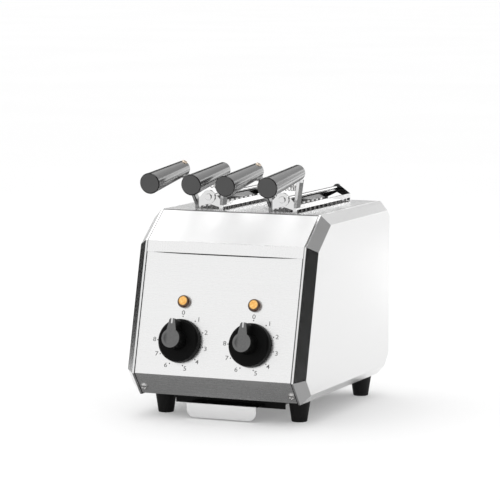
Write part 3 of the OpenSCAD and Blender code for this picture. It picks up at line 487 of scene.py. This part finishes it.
def plastic(name, level, rough, specular, grain, coat=0.0, coat_rough=0.1, warm=0.0):
    """Moulded plastic or rubber with a fine moulded grain and faint flow clouding."""
    darker, lighter = 0.8, 1.2
    smoother, rougher, pitted = 0.04, 0.05, 0.03
    look = Look(name, Specular_IOR_Level=specular, Coat_Weight=coat, Coat_Roughness=coat_rough)
    pits = look.noise(grain, detail=4, rough=0.6)
    flow = look.noise(24.0, detail=3, rough=0.55)
    dark, light = rgb(level * darker, warm), rgb(level * lighter, warm)
    look.put(Base_Color=look.mix(look.span(flow, 0, 1), dark, light))
    look.put(Roughness=look.add(look.span(flow, rough - smoother, rough + rougher),
                                look.span(pits, -pitted, pitted)))
    look.bump(pits, strength=0.12, distance=0.05 * MM)
    return look


# Materials
BRUSHED_ACROSS = {"level": 0.88, "rough": 0.27, "brush": (30, 2600, 2600)}
PANEL = steel("panel_steel_across", **BRUSHED_ACROSS).material
SIDE = steel("panel_steel_along", level=0.80, rough=0.20, brush=(2600, 30, 2600),
             strength=0.08, smears=0.015).material
# Inner sheet kept dark as painted shade inside the body.
INNER = steel("inner_steel_sheet", level=0.36, rough=0.42, brush=(2200, 60, 2200)).material
FASTENER = bright_wire("fastener_steel_plated", level=0.72, rough=0.22)
# Wire kept dark as painted shade of the slots.
WIRE = bright_wire("wire_steel_plated", level=0.16, rough=0.34)
SPRING = bright_wire("spring_steel", level=0.70, rough=0.24)
BRASS = bright_wire("set_screw_brass", level=0.80, rough=0.24, tint=0.17)
HEATER = bright_wire("heater_wire", level=0.30, rough=0.45, tint=0.10)
FOOT = plastic("foot_black_rubber", level=0.010, rough=0.55, specular=0.16, grain=1600.0).material
TIMER = plastic("timer_dark_plastic", level=0.06, rough=0.5, specular=0.4, grain=1200.0).material
GLAND = plastic("gland_black_plastic", level=0.02, rough=0.42, specular=0.4, grain=1300.0).material
STRIP = plastic("tray_strip_black", level=0.008, rough=0.5, specular=0.12, grain=900.0).material
INK = plastic("dial_ink_grey", level=0.16, rough=0.6, specular=0.2, grain=1500.0).material
PAINT = plastic("index_paint_white", level=0.62, rough=0.5, specular=0.3, grain=1500.0).material
CERAMIC = plastic("ceramic_white_bisque", level=0.70, rough=0.7, specular=0.3, grain=900.0,
                  warm=0.03).material


def front_look():
    """Brushed front panel with painted shade along its right edge, at the seam."""
    look = steel("panel_steel_front", **BRUSHED_ACROSS)
    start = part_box("front_panel")[1].x - SEAM_SHADE_W
    # Painted shade of the seam along the right edge.
    seam_shade = look.span(look.along(look.coords, "X"), 0, 1, (start, start + SEAM_SHADE_SOFT))
    look.shade(seam_shade, level=0.05, share=0.9)
    return look.material


def handle_look():
    """Glossy black handle with a dull rim round its front face."""
    gloss, dull, coat = 0.5, 0.08, 0.6
    look = plastic("handle_black_gloss", level=0.026, rough=0.16, specular=gloss, grain=500.0,
                   coat=coat, coat_rough=0.08)
    rim = look.between(look.times(look.along(look.facing, "Y"), -1), RIM_TURN)
    look.shade(rim, level=0.004)
    look.put(Specular_IOR_Level=look.span(rim, gloss, dull, (0, 1)))
    look.put(Coat_Weight=look.span(rim, coat, 0, (0, 1)))
    return look.material


def tong_look():
    """Bright pressed steel with painted shade on the legs, the inner faces, the front of the left legs and
    the rear ears.
    """
    look = steel("tong_steel_sheet", level=0.76, rough=0.12, brush=(1800, 60, 1800), strength=0.06)
    turned = {axis: look.along(look.facing, axis) for axis in "XYZ"}
    # Painted shade on the leaning outer sides of the legs.
    leans = look.between(look.maths("ABSOLUTE", turned["Z"]), LEG_LEAN)
    aside = look.over(look.maths("ABSOLUTE", turned["X"]), LEG_ASIDE)
    look.shade(look.times(aside, leans), level=0.035)
    across = look.along(look.coords, "X")
    tong_x = middle_of(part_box("right_tong_rod")).x
    beside = look.maths("SUBTRACT", across, look.times(look.maths("SIGN", across), tong_x))
    # Painted shade on the inner faces, between the jaws.
    inside = look.under(look.times(beside, turned["X"]), -INNER_FACE)
    look.shade(inside, level=0.16, share=0.9)
    # Painted shade on the front of the left legs.
    front = look.under(turned["Y"], FACES_FRONT)
    left = look.times(front, look.under(beside, -LEFT_LEG))
    look.shade(left, level=0.08, share=0.8)
    # Painted shade on the rear ears.
    rear = look.over(look.along(look.coords, "Y"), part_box("left_tong_jaw_a")[1].y - EAR_DEEP)
    look.shade(look.times(rear, front), level=0.06)
    return look.material


def cover_look():
    """Brushed cover whose slopes are blasted duller than its flat top, with painted light on the slopes,
    painted shade on the flat top and a painted shade line along the front fold.
    """
    look = steel("panel_steel_over", level=0.88, rough=0.25, brush=(1600, 30, 30),
                 strength=0.5, depth=0.05 * MM)
    rise = look.along(look.node("ShaderNodeNewGeometry").outputs["Normal"], "Z")
    slope = look.between(rise, SLOPE_TURN)
    rougher = 0.35
    look.put(Roughness=look.add(look.fed("Roughness"), look.times(slope, rougher)))
    # Painted light: the slopes are made lighter.
    look.shade(slope, level=0.93)
    # Painted shade: the flat top is made darker.
    look.shade(look.over(rise, SLOPE_TURN[1]), level=0.64, share=0.9)
    # Painted shade: a dark line along the front fold.
    points = [v.co for v in nodes["top_cover"].data.vertices]
    top = max(p.z for p in points)
    fold = min(p.y for p in points if p.z > top - FOLD_DEEP) - FOLD_BACK
    beside = look.maths("ABSOLUTE", look.maths("SUBTRACT", look.along(look.coords, "Y"), fold))
    look.shade(look.under(beside, FOLD_W), level=0.08, share=0.85)
    return look.material


def knob_look(side):
    """Satin black knob whose grip face is lighter grey as painted reflection, with painted shade towards one
    side where the face would be dished.
    """
    dim_face_sheen, bright_face_sheen, dish_shade_level, dish_shade_share = 0.12, 0.155, 0.03, 0.85
    look = plastic(f"knob_black_satin_{side}", level=0.004, rough=0.42, specular=0.06, grain=1400.0)
    place = dial_frame(side)
    local = look.vectors("SUBTRACT", look.coords, place.translation)[0]
    x, y, z = (look.vectors("DOT_PRODUCT", local, way)["Value"] for way in place.to_3x3().transposed())
    face = look.over(z, KNOB_H - KNOB_FACE)
    speck = look.noise(700.0, detail=4, rough=0.6)
    # Painted reflection: the grip's face is a lighter grey.
    grey = look.mix(look.span(speck, 0, 1), rgb(dim_face_sheen), rgb(bright_face_sheen))
    centre = look.node("ShaderNodeCombineXYZ", {0: look.add(x, DISH_SHIFT), 1: y}).outputs[0]
    radius = look.vectors("LENGTH", centre)["Value"]
    # Painted shade of a dished face, towards one side.
    dish_shade = look.times(look.span(radius, 1, 0, (DISH_R - DISH_SOFT, DISH_R)),
                      look.span(x, dish_shade_share, 0, (-DISH_R, -DISH_R + 3 * DISH_SOFT)))
    look.put(Base_Color=look.mix(face, look.fed("Base Color"), look.mix(dish_shade, grey, rgb(dish_shade_level))))
    return look.material


def amber_look(side):
    """Clear amber lens with a faint prism pattern, and painted light in the middle and painted shade towards
    its rim, in its colour and its faint glow.
    """
    amber, gold, brown_shade = (0.72, 0.32, 0.04, 1), (0.90, 0.56, 0.18, 1), (0.045, 0.016, 0.002, 1)
    look = Look(f"lamp_amber_lens_{side}", Specular_IOR_Level=0.5, Coat_Weight=0.3, Coat_Roughness=0.05)
    from_middle = look.vectors("SUBTRACT", look.coords, middle_of(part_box(f"lamp_lens_{side}")))[0]
    outward = look.vectors("PROJECT", from_middle, panel_out())[0]
    across = look.vectors("SUBTRACT", from_middle, outward)[0]
    radius = look.vectors("LENGTH", across)["Value"]
    prism = look.noise(420.0, detail=2, rough=0.5)
    clear = look.mix(look.span(prism, 0, 1), amber, gold)
    # Painted light in the middle and painted shade towards the rim, used for the colour and the glow.
    tone = look.mix(look.span(radius, 0, 1, (LENS_CLEAR, LENS_RIM)), clear, brown_shade)
    look.put(Base_Color=tone, Emission_Color=tone, Emission_Strength=0.18)
    look.put(Roughness=look.span(prism, 0.12, 0.22))
    look.bump(prism, strength=0.2, distance=0.2 * MM)
    return look.material


def tray_look():
    """Steel tray with a bare tab and a pan darkened to a warm near-black as painted shade under the body."""
    tab_metal, tab_rougher = 0.4, 0.2
    look = steel("tray_steel_sheet", level=0.92, rough=0.24, brush=(40, 2200, 2200))
    # Painted shade: the pan behind the tab is darkened, with a mottle.
    pan = look.over(look.along(look.coords, "Y"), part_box("crumb_tray")[0].y + PAN_BACK)
    pan_mottle = look.noise(30.0, detail=4, rough=0.6)
    brown_shade = look.mix(look.span(pan_mottle, 0, 1), rgb(0.016, warm=0.05), rgb(0.034, warm=0.12))
    look.put(Base_Color=look.mix(pan, look.fed("Base Color"), brown_shade))
    look.put(Metallic=look.span(pan, tab_metal, 1, (0, 1)))
    look.put(Roughness=look.add(look.fed("Roughness"), look.span(pan, tab_rougher, 0, (0, 1))))
    return look.material


def quartz_look():
    """Milky quartz tube with drawn lengthwise lines."""
    look = Look("quartz_tube_milky", IOR=1.46, Transmission_Weight=0.85)
    drawn = look.noise(1.0, detail=3, rough=0.5, vector=look.stretched((900, 20, 900)))
    look.put(Base_Color=look.mix(look.span(drawn, 0, 1), rgb(0.86), rgb(0.96)))
    look.put(Roughness=look.span(drawn, 0.18, 0.32))
    look.bump(drawn, strength=0.1, distance=0.05 * MM)
    return look.material


FRONT = front_look()
TONG = tong_look()
HANDLE = handle_look()
COVER = cover_look()
KNOB = {side: knob_look(side) for side in SIDES}
AMBER = {side: amber_look(side) for side in SIDES}
TRAY = tray_look()
QUARTZ = quartz_look()

# Finish and edge rounding in mm of each CAD node, by the start of its name
FINISH = [
    ("side_panel_nuts", FASTENER, 0.2),
    ("side_panel", SIDE, 0.55),
    ("front_panel", FRONT, 0.45),
    ("top_cover", COVER, 0.45),
    ("rear_panel", PANEL, 0.45),
    ("panel_screws", FASTENER, 0),
    ("foot_screws", FASTENER, 0.2),
    ("foot_", FOOT, 0.8),
    ("base_plate", INNER, 0.3),
    ("tray_rail", INNER, 0.3),
    ("front_bulkhead", INNER, 0.3),
    ("rear_bulkhead", INNER, 0.3),
    ("reflector", INNER, 0.3),
    ("heater_tubes", QUARTZ, 0),
    ("heater_caps", CERAMIC, 0.4),
    ("guard_wires", WIRE, 0),
    ("timer_screws", FASTENER, 0.2),
    ("timer_shaft", FASTENER, 0.3),
    ("timer", TIMER, 0.8),
    ("lamp_lens_left", AMBER["left"], 0.2),
    ("lamp_lens_right", AMBER["right"], 0.2),
    ("lamp_holder", TIMER, 0.3),
    ("terminal_block", CERAMIC, 0.6),
    ("cable_gland", GLAND, 0.5),
    ("gland_nut", GLAND, 0.4),
    ("crumb_tray", TRAY, 0.4),
    ("knob_left", KNOB["left"], 0.5),
    ("knob_right", KNOB["right"], 0.5),
]

# The same for the nodes of a tong, by the word after its name
TONG_FINISH = {
    "rod": (TONG, 0.4),
    "spring": (SPRING, 0),
    "jaw": (TONG, 0.35),
    "grid": (WIRE, 0),
    "rest": (TONG, 0.4),
    "handle": (HANDLE, 0.7),
    "screw": (FASTENER, 0.4),
}


def finish_of(name):
    """Material and edge width of a CAD node."""
    if "_tong_" in name:
        return TONG_FINISH[name.split("_")[2]]
    return next((m, w) for start, m, w in FINISH if name.startswith(start))


for name, node in nodes.items():
    look, width = finish_of(name)
    node.data.materials.clear()
    node.data.materials.append(look)
    if width:
        edges(node, width * MM)


# Dials: numbers, dots and the index line of each knob
def digit(text):
    """Points and faces of one raised numeral, centred on the origin."""
    curve = bpy.data.curves.new("numeral", "FONT")
    curve.body = text
    curve.size = DIGIT_SIZE
    curve.extrude = INK_RISE
    curve.offset = DIGIT_WEIGHT
    curve.align_x = "CENTER"
    curve.align_y = "CENTER"
    curve.resolution_u = DIGIT_CURVE
    text_object = bpy.data.objects.new("numeral", curve)
    scene.collection.objects.link(text_object)
    shown = text_object.evaluated_get(bpy.context.evaluated_depsgraph_get())
    mesh = bpy.data.meshes.new_from_object(shown)
    points = [v.co.copy() for v in mesh.vertices]
    faces = [tuple(p.vertices) for p in mesh.polygons]
    bpy.data.objects.remove(text_object)
    bpy.data.meshes.remove(mesh)
    return points, faces


def dial_marks(side):
    """Numbers and dots printed round a knob."""
    place = dial_frame(side)
    marks = Shape()
    for step in range(DIAL_STEPS + 1):
        turn = DIAL_SWEEP * step / DIAL_STEPS
        ray = Vector((math.sin(turn), math.cos(turn), 0))
        beside = turn + DIGIT_TURNS[step]
        spot = DIGIT_RADIUS * Vector((math.sin(beside), math.cos(beside), 0))
        points, faces = digit(str(step))
        marks.add([place @ (spot + Vector((p.x * DIGIT_STRETCH, p.y, p.z))) for p in points], faces)
        dot = [(DOT_D / 2, -INK_RISE), (DOT_D / 2, INK_RISE)]
        marks.lathe(dot, place @ Matrix.Translation(ray * DOT_RADIUS), DOT_STEPS)
    marks.build(f"dial_marks_{side}", "toaster", INK, smooth=False)


def knob_index(side):
    """White line over the tip of a knob's grip and down its end."""
    place = dial_frame(side)
    half = INDEX_W / 2
    top = KNOB_H + INDEX_RISE
    line = Shape()
    line.block((-half, POINTER_R - INDEX_L, KNOB_H - INDEX_RISE), (half, POINTER_R + INDEX_RISE, top), place)
    line.block((-half, POINTER_R - INDEX_RISE, KNOB_H - INDEX_DROP),
               (half, POINTER_R + INDEX_RISE, KNOB_H - INDEX_RISE), place)
    line.build(f"knob_index_{side}", f"{side}_knob", PAINT, smooth=False)


# Panel screws with a cross recess
def screw_height(x, y):
    """Height of a domed head with its cross recess, over its rim."""
    reach = math.hypot(x, y)
    dome = SCREW_DOME * (1 - (reach / (SCREW_HEAD / 2)) ** 2)
    inside = max(min(abs(x), abs(y)) - CROSS_HALF, reach - CROSS_REACH) / CROSS_SOFT
    return dome - CROSS_DEEP * max(0.0, min(1.0, 0.5 - inside))


def screw(shape, place):
    """One screw: shank, rim and a head drawn as rings of heights."""
    rim = SCREW_RISE - SCREW_DOME
    profile = [(SCREW_D / 2, -SCREW_L), (SCREW_D / 2, 0), (SCREW_HEAD / 2, 0), (SCREW_HEAD / 2, rim)]
    rings = [ring(place, radius, height, SCREW_STEPS) for radius, height in profile]
    for i in range(1, SCREW_RINGS + 1):
        radius = SCREW_HEAD / 2 * (1 - i / (SCREW_RINGS + 0.5))
        flat = [(radius * math.cos(a), radius * math.sin(a)) for a in round_turn(SCREW_STEPS)]
        rings.append([place @ Vector((x, y, rim + screw_height(x, y))) for x, y in flat])
    shape.rings(rings)


def panel_screws():
    """All screws of the front and rear chamfers, as one piece."""
    shape = Shape()
    middle = middle_of(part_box("panel_screws"))
    for points in islands("panel_screws"):
        out = FRONT_OUT if middle_of(points).y < middle.y else REAR_OUT
        top = max(p.dot(out) for p in points)
        seat = [p for p in points if p.dot(out) > top - SAME_PLACE]
        screw(shape, frame_at(middle_of(seat) - out * SCREW_RISE, RIGHT, out.cross(RIGHT)))
    piece = shape.build("panel_screws_cross", "toaster", FASTENER)
    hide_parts("panel_screws")


# Wire grids, guards, springs and heater coils
def jaw_grid(side, jaw):
    """Upright wires of a jaw on three ties."""
    node = f"{side}_tong_grid_{jaw}"
    low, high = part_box(node)
    out = JAWS[jaw]
    tie_x = (high.x - GRID_WIRE / 2) if out > 0 else (low.x + GRID_WIRE / 2)
    wire_x = tie_x - out * (GRID_WIRE - GRID_SINK)
    first = low.y + GRID_TIE_PAST
    step = (high.y - low.y - 2 * GRID_TIE_PAST) / (GRID_WIRES - 1)
    shape = Shape()
    for i in range(GRID_WIRES):
        y = first + i * step
        shape.tube([(wire_x, y, low.z), (wire_x, y, high.z - GRID_SHORT)], GRID_WIRE)
    for z in (low.z + GRID_TIE_LIFT, low.z + GRID_TIE_MID, high.z - GRID_TIE_DROP):
        shape.tube([(tie_x, low.y, z), (tie_x, high.y, z)], GRID_WIRE)
    piece = shape.build(f"{side}_tong_wires_{jaw}", f"{side}_tong_jaw_{jaw}_body", WIRE)
    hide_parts(node)


def guard_wires(side):
    """Guards on both sides of a slot: upright wires between two rods."""
    node = f"guard_wires_{side}"
    shape = Shape()
    for points in islands(node):
        low, high = box_of(points)
        x = (low.x + high.x) / 2
        rods = (low.z + GUARD_ROD / 2, high.z - GUARD_ROD / 2)
        for z in rods:
            shape.tube([(x, low.y, z), (x, high.y, z)], GUARD_ROD)
        first, last = low.y + GUARD_LEAD, high.y - GUARD_TAIL
        for i in range(GUARD_WIRES):
            y = first + (last - first) * i / (GUARD_WIRES - 1)
            shape.tube([(x, y, rods[0]), (x, y, rods[1])], GUARD_WIRE)
    piece = shape.build(f"guard_wires_round_{side}", "toaster", WIRE)
    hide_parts(node)


def tong_spring(side):
    """Close-ended coil between the legs of a tong, in two halves, each wound from the middle out towards one
    jaw.
    """
    node = f"{side}_tong_spring"
    low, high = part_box(node)
    centre = (low + high) / 2
    radius = (high.z - low.z - SPRING_WIRE) / 2
    span = high.x - low.x - SPRING_WIRE
    count = SPRING_TURNS * SPRING_STEPS

    def on_coil(i):
        a = 2 * math.pi * i / count
        eased = i / count + (SPRING_EASE[0] * math.sin(2 * a) - SPRING_EASE[1] * math.sin(a)) / 2
        turn = SPRING_TURNS * a
        return centre + Vector((span * (eased - 0.5), radius * math.cos(turn), radius * math.sin(turn)))

    for jaw, out in JAWS.items():
        shape = Shape()
        path = [on_coil(count // 2 + out * i) for i in range(count // 2 + 1)]
        shape.tube(path, SPRING_WIRE, SPRING_SIDES)
        piece = shape.build(f"{side}_tong_coil_{jaw}", None, SPRING)
        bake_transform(piece)
        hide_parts(node)


def heater_coil(number, points):
    """Resistance wire wound inside one tube."""
    low, high = box_of(points)
    centre = (low + high) / 2
    span = high.y - low.y - 2 * COIL_LEAD
    count = COIL_TURNS * COIL_STEPS
    path = []
    for i in range(count + 1):
        a = 2 * math.pi * COIL_TURNS * i / count
        path.append(Vector((centre.x + COIL_D / 2 * math.cos(a), low.y + COIL_LEAD + span * i / count,
                            centre.z + COIL_D / 2 * math.sin(a))))
    shape = Shape()
    shape.tube(path, COIL_WIRE, COIL_SIDES)
    shape.build(f"heater_coil_{number}", "toaster", HEATER)


# Small trim
def set_screw(side):
    """Small brass set screw in the rear end of the left handle of a tong."""
    low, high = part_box(f"{side}_tong_handle_a")
    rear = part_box(f"{side}_tong_screw_a")
    seat = Vector(((low.x + high.x) / 2, high.y - SET_SCREW_BACK, (rear[0].z + rear[1].z) / 2))
    out = Vector((math.cos(SET_SCREW_TURN), 0, math.sin(SET_SCREW_TURN)))
    rim = SET_SCREW_REACH
    top = rim + SET_SCREW_RISE
    profile = [(SET_SCREW_D / 2, rim - SET_SCREW_L), (SET_SCREW_D / 2, rim),
               (SET_SCREW_D / 2 - SET_SCREW_EDGE, top), (SOCKET_D / 2, top),
               (SOCKET_D / 2, rim - SOCKET_DEEP)]
    shape = Shape()
    shape.lathe(profile, frame_at(seat, BACK, out.cross(BACK)), SET_SCREW_STEPS)
    shape.build(f"{side}_tong_set_screw", f"{side}_tong_jaw_a_body", BRASS, smooth=False)


def lip_seal():
    """Thin dark strip under the cover's front lip, fullest in the middle, as painted shadow of the gap
    there.
    """
    out = panel_out()
    up = out.cross(RIGHT)
    mesh = nodes["top_cover"].data
    lip = [mesh.vertices[i].co for f in mesh.polygons if f.normal.dot(out) > SAME_WAY for i in f.vertices]
    face = max(v.co.dot(out) for v in nodes["front_panel"].data.vertices)
    edge = min(p.dot(up) for p in lip)
    half = max(p.x for p in lip) - LIP_SHADOW_SHORT
    # Painted shadow: the strip is tallest in the middle and tapers to the ends.
    rings = []
    for i in range(LIP_SHADOW_STEPS + 1):
        t = 2 * i / LIP_SHADOW_STEPS - 1
        tall = LIP_SHADOW_H * (1 - t ** LIP_SHADOW_FULLNESS)
        corners = ((0, LIP_SHADOW_TUCK), (LIP_SHADOW_DEEP, LIP_SHADOW_TUCK), (LIP_SHADOW_DEEP, -tall), (0, -tall))
        rings.append([half * t * RIGHT + out * (face + o) + up * (edge + u) for o, u in corners])
    shape = Shape()
    shape.rings(rings)
    shape.build("lip_seal", "toaster", FOOT, smooth=False)


def tray_strip():
    """Black strip across the front of the tray."""
    low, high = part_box("tray_rail_left")[0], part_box("tray_rail_right")[1]
    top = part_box("crumb_tray")[1].z
    shape = Shape()
    shape.block((low.x + STRIP_SHORT, low.y - STRIP_T, top - STRIP_H),
                (high.x - STRIP_SHORT, low.y + STRIP_SINK, top), Matrix())
    edges(shape.build("tray_strip", "tray", STRIP, smooth=False), STRIP_EDGE)


for side in SIDES:
    dial_marks(side)
    knob_index(side)
panel_screws()
lip_seal()
tray_strip()
for side in SIDES:
    guard_wires(side)
    tong_spring(side)
    set_screw(side)
    for jaw in JAWS:
        jaw_grid(side, jaw)
tubes = [points for name in nodes if name.startswith("heater_tubes") for points in islands(name)]
for number, points in enumerate(tubes, 1):
    heater_coil(number, points)


# Stage: floor, world, softbox, reflected cards and camera
CAMERA_AT = Vector((1.1535, -2.7692, 0.5097))
CAMERA_TO = Vector((0.00048, -0.03152, 0.17853))
CAMERA_ROLL = math.radians(0.1)
CAMERA_LENS = 194.57
CAMERA_SENSOR = 36.0
CAMERA_NEAR = 0.1
CAMERA_FAR = 50
LOOK_AT = Vector((0, 0, 0.13))
WORLD_LEVEL = 1.06
FLOOR_GLOW = 0.25
FLOOR_HALF = 40.0
CARD_LIFT = 1 * MM
WHITE = (1, 1, 1, 1)


def flat_sheet(name, corners, material):
    """Flat piece of the stage."""
    mesh = bpy.data.meshes.new(name)
    mesh.from_pydata(corners, [], [tuple(range(len(corners)))])
    mesh.materials.append(material)
    sheet = bpy.data.objects.new(name, mesh)
    scene.collection.objects.link(sheet)
    return sheet


def oblong(half_w, half_h):
    """Corners of a rectangle round the origin, in X and Y."""
    return [Vector(c) for c in (
        (-half_w, -half_h, 0), (half_w, -half_h, 0), (half_w, half_h, 0), (-half_w, half_h, 0))]


def seen_ray(tree):
    """1 for rays that show a surface to the eye, straight, in a mirror or through glass."""
    path = tree.nodes.new("ShaderNodeLightPath")
    seen = path.outputs["Is Camera Ray"]
    for ray in ("Is Glossy Ray", "Is Transmission Ray"):
        added = tree.nodes.new("ShaderNodeMath")
        added.operation = "MAXIMUM"
        tree.links.new(seen, added.inputs[0])
        tree.links.new(path.outputs[ray], added.inputs[1])
        seen = added.outputs[0]
    return seen


def floor():
    """White floor with a light shadow."""
    look = Look("floor_white", Specular_IOR_Level=0.1, Roughness=0.9)
    cloud = look.noise(1.2, detail=2, rough=0.5)
    look.put(Base_Color=look.mix(look.span(cloud, 0, 1), rgb(0.93), rgb(0.95)))
    glow = look.node("ShaderNodeEmission", {"Color": WHITE, "Strength": 1.0})
    share = look.times(seen_ray(look.tree), FLOOR_GLOW)
    both = look.node("ShaderNodeMixShader", {0: share, 1: look.shader.outputs[0], 2: glow.outputs[0]})
    look.set(look.tree.nodes["Material Output"], "Surface", both.outputs[0])
    flat_sheet("floor", oblong(FLOOR_HALF, FLOOR_HALF), look.material)


def world():
    """White surround, a little stronger as a light than as a backdrop."""
    sky = bpy.data.worlds.new("studio")
    scene.world = sky
    sky.use_nodes = True
    tree = sky.node_tree
    level = tree.nodes.new("ShaderNodeMapRange")
    level.inputs["To Min"].default_value = WORLD_LEVEL
    level.inputs["To Max"].default_value = 1.0
    tree.links.new(seen_ray(tree), level.inputs["Value"])
    shader = tree.nodes["Background"]
    shader.inputs["Color"].default_value = WHITE
    tree.links.new(level.outputs[0], shader.inputs["Strength"])


def softbox(name, direction, distance, size, radiance):
    """Soft light that shines on the object from a direction."""
    light = bpy.data.lights.new(name, "AREA")
    light.shape = "RECTANGLE"
    light.size, light.size_y = size
    light.energy = radiance * math.pi * size[0] * size[1]
    lamp = bpy.data.objects.new(name, light)
    away = Vector(direction).normalized()
    lamp.location = LOOK_AT + away * distance
    lamp.rotation_mode = "QUATERNION"
    lamp.rotation_quaternion = away.to_track_quat("Z", "Y")
    scene.collection.objects.link(lamp)


def card(name, corners, level):
    """Plain card that only reflections see, as a light or dark part of the studio."""
    material = bpy.data.materials.new(name)
    material.use_nodes = True
    tree = material.node_tree
    tree.nodes.clear()
    glow = tree.nodes.new("ShaderNodeEmission")
    glow.inputs["Color"].default_value = WHITE
    glow.inputs["Strength"].default_value = level
    out = tree.nodes.new("ShaderNodeOutputMaterial")
    tree.links.new(glow.outputs[0], out.inputs[0])
    sheet = flat_sheet(name, corners, material)
    sheet.visible_camera = False
    sheet.visible_diffuse = False
    sheet.visible_shadow = False
    sheet.visible_transmission = False


def standing_card(name, direction, distance, size, level):
    """Card that faces the object from a direction."""
    away = Vector(direction).normalized()
    turn = away.to_track_quat("Z", "Y").to_matrix()
    centre = LOOK_AT + away * distance
    card(name, [centre + turn @ c for c in oblong(size[0] / 2, size[1] / 2)], level)


def floor_card(name, corners, level):
    """Card that lies on the floor."""
    card(name, [(x, y, CARD_LIFT) for x, y in corners], level)


def camera():
    """Camera fitted to the photo."""
    data = bpy.data.cameras.new("camera")
    data.lens = CAMERA_LENS
    data.sensor_width = CAMERA_SENSOR
    data.clip_start = CAMERA_NEAR
    data.clip_end = CAMERA_FAR
    view = bpy.data.objects.new("camera", data)
    view.location = CAMERA_AT
    turn = (CAMERA_TO - CAMERA_AT).to_track_quat("-Z", "Y").to_matrix()
    view.rotation_mode = "QUATERNION"
    view.rotation_quaternion = (turn @ Matrix.Rotation(CAMERA_ROLL, 3, "Z")).to_quaternion()
    scene.collection.objects.link(view)
    scene.camera = view


floor()
world()
softbox("softbox_top", direction=(-0.25, 0.15, 1.0), distance=1.6, size=(1.3, 1.1), radiance=1.0)
standing_card("card_rim", direction=(0.29, 0.94, 0.18), distance=1.8, size=(0.40, 0.70), level=2.6)
standing_card("card_right", direction=(0.916, -0.331, 0.22), distance=1.4, size=(1.3, 1.5), level=0.02)
standing_card("card_left", direction=(-0.909, 0.415, 0.05), distance=1.4, size=(1.0, 1.2), level=0.02)
standing_card("card_upper", direction=(0.64, 0.31, 0.71), distance=1.3, size=(0.7, 0.7), level=0.34)
standing_card("card_top", direction=(-0.14, 0.173, 0.97), distance=1.2, size=(1.3, 1.2), level=2.0)
standing_card("card_back", direction=(-0.302, 0.881, 0.362), distance=1.987, size=(0.9, 0.5), level=0.06)
standing_card("card_bevel", direction=(0.11, 0.91, 0.38), distance=2.0, size=(0.5, 0.35), level=0.76)
floor_card("card_front", level=0.185,
           corners=[(-0.15, -0.155), (0.10, -0.155), (0.10, -0.07), (-0.15, -0.07)])
floor_card("card_beside", level=0.42,
           corners=[(0.10, -0.17), (0.19, -0.17), (0.19, 0.05), (0.10, 0.05)])
floor_card("card_behind", level=2.1,
           corners=[(0.0, 0.5), (0.16, 0.5), (0.42, 1.16), (0.62, 1.7), (0.4, 1.7), (0.15, 1.16)])
camera()
scene.view_settings.view_transform = "Standard"
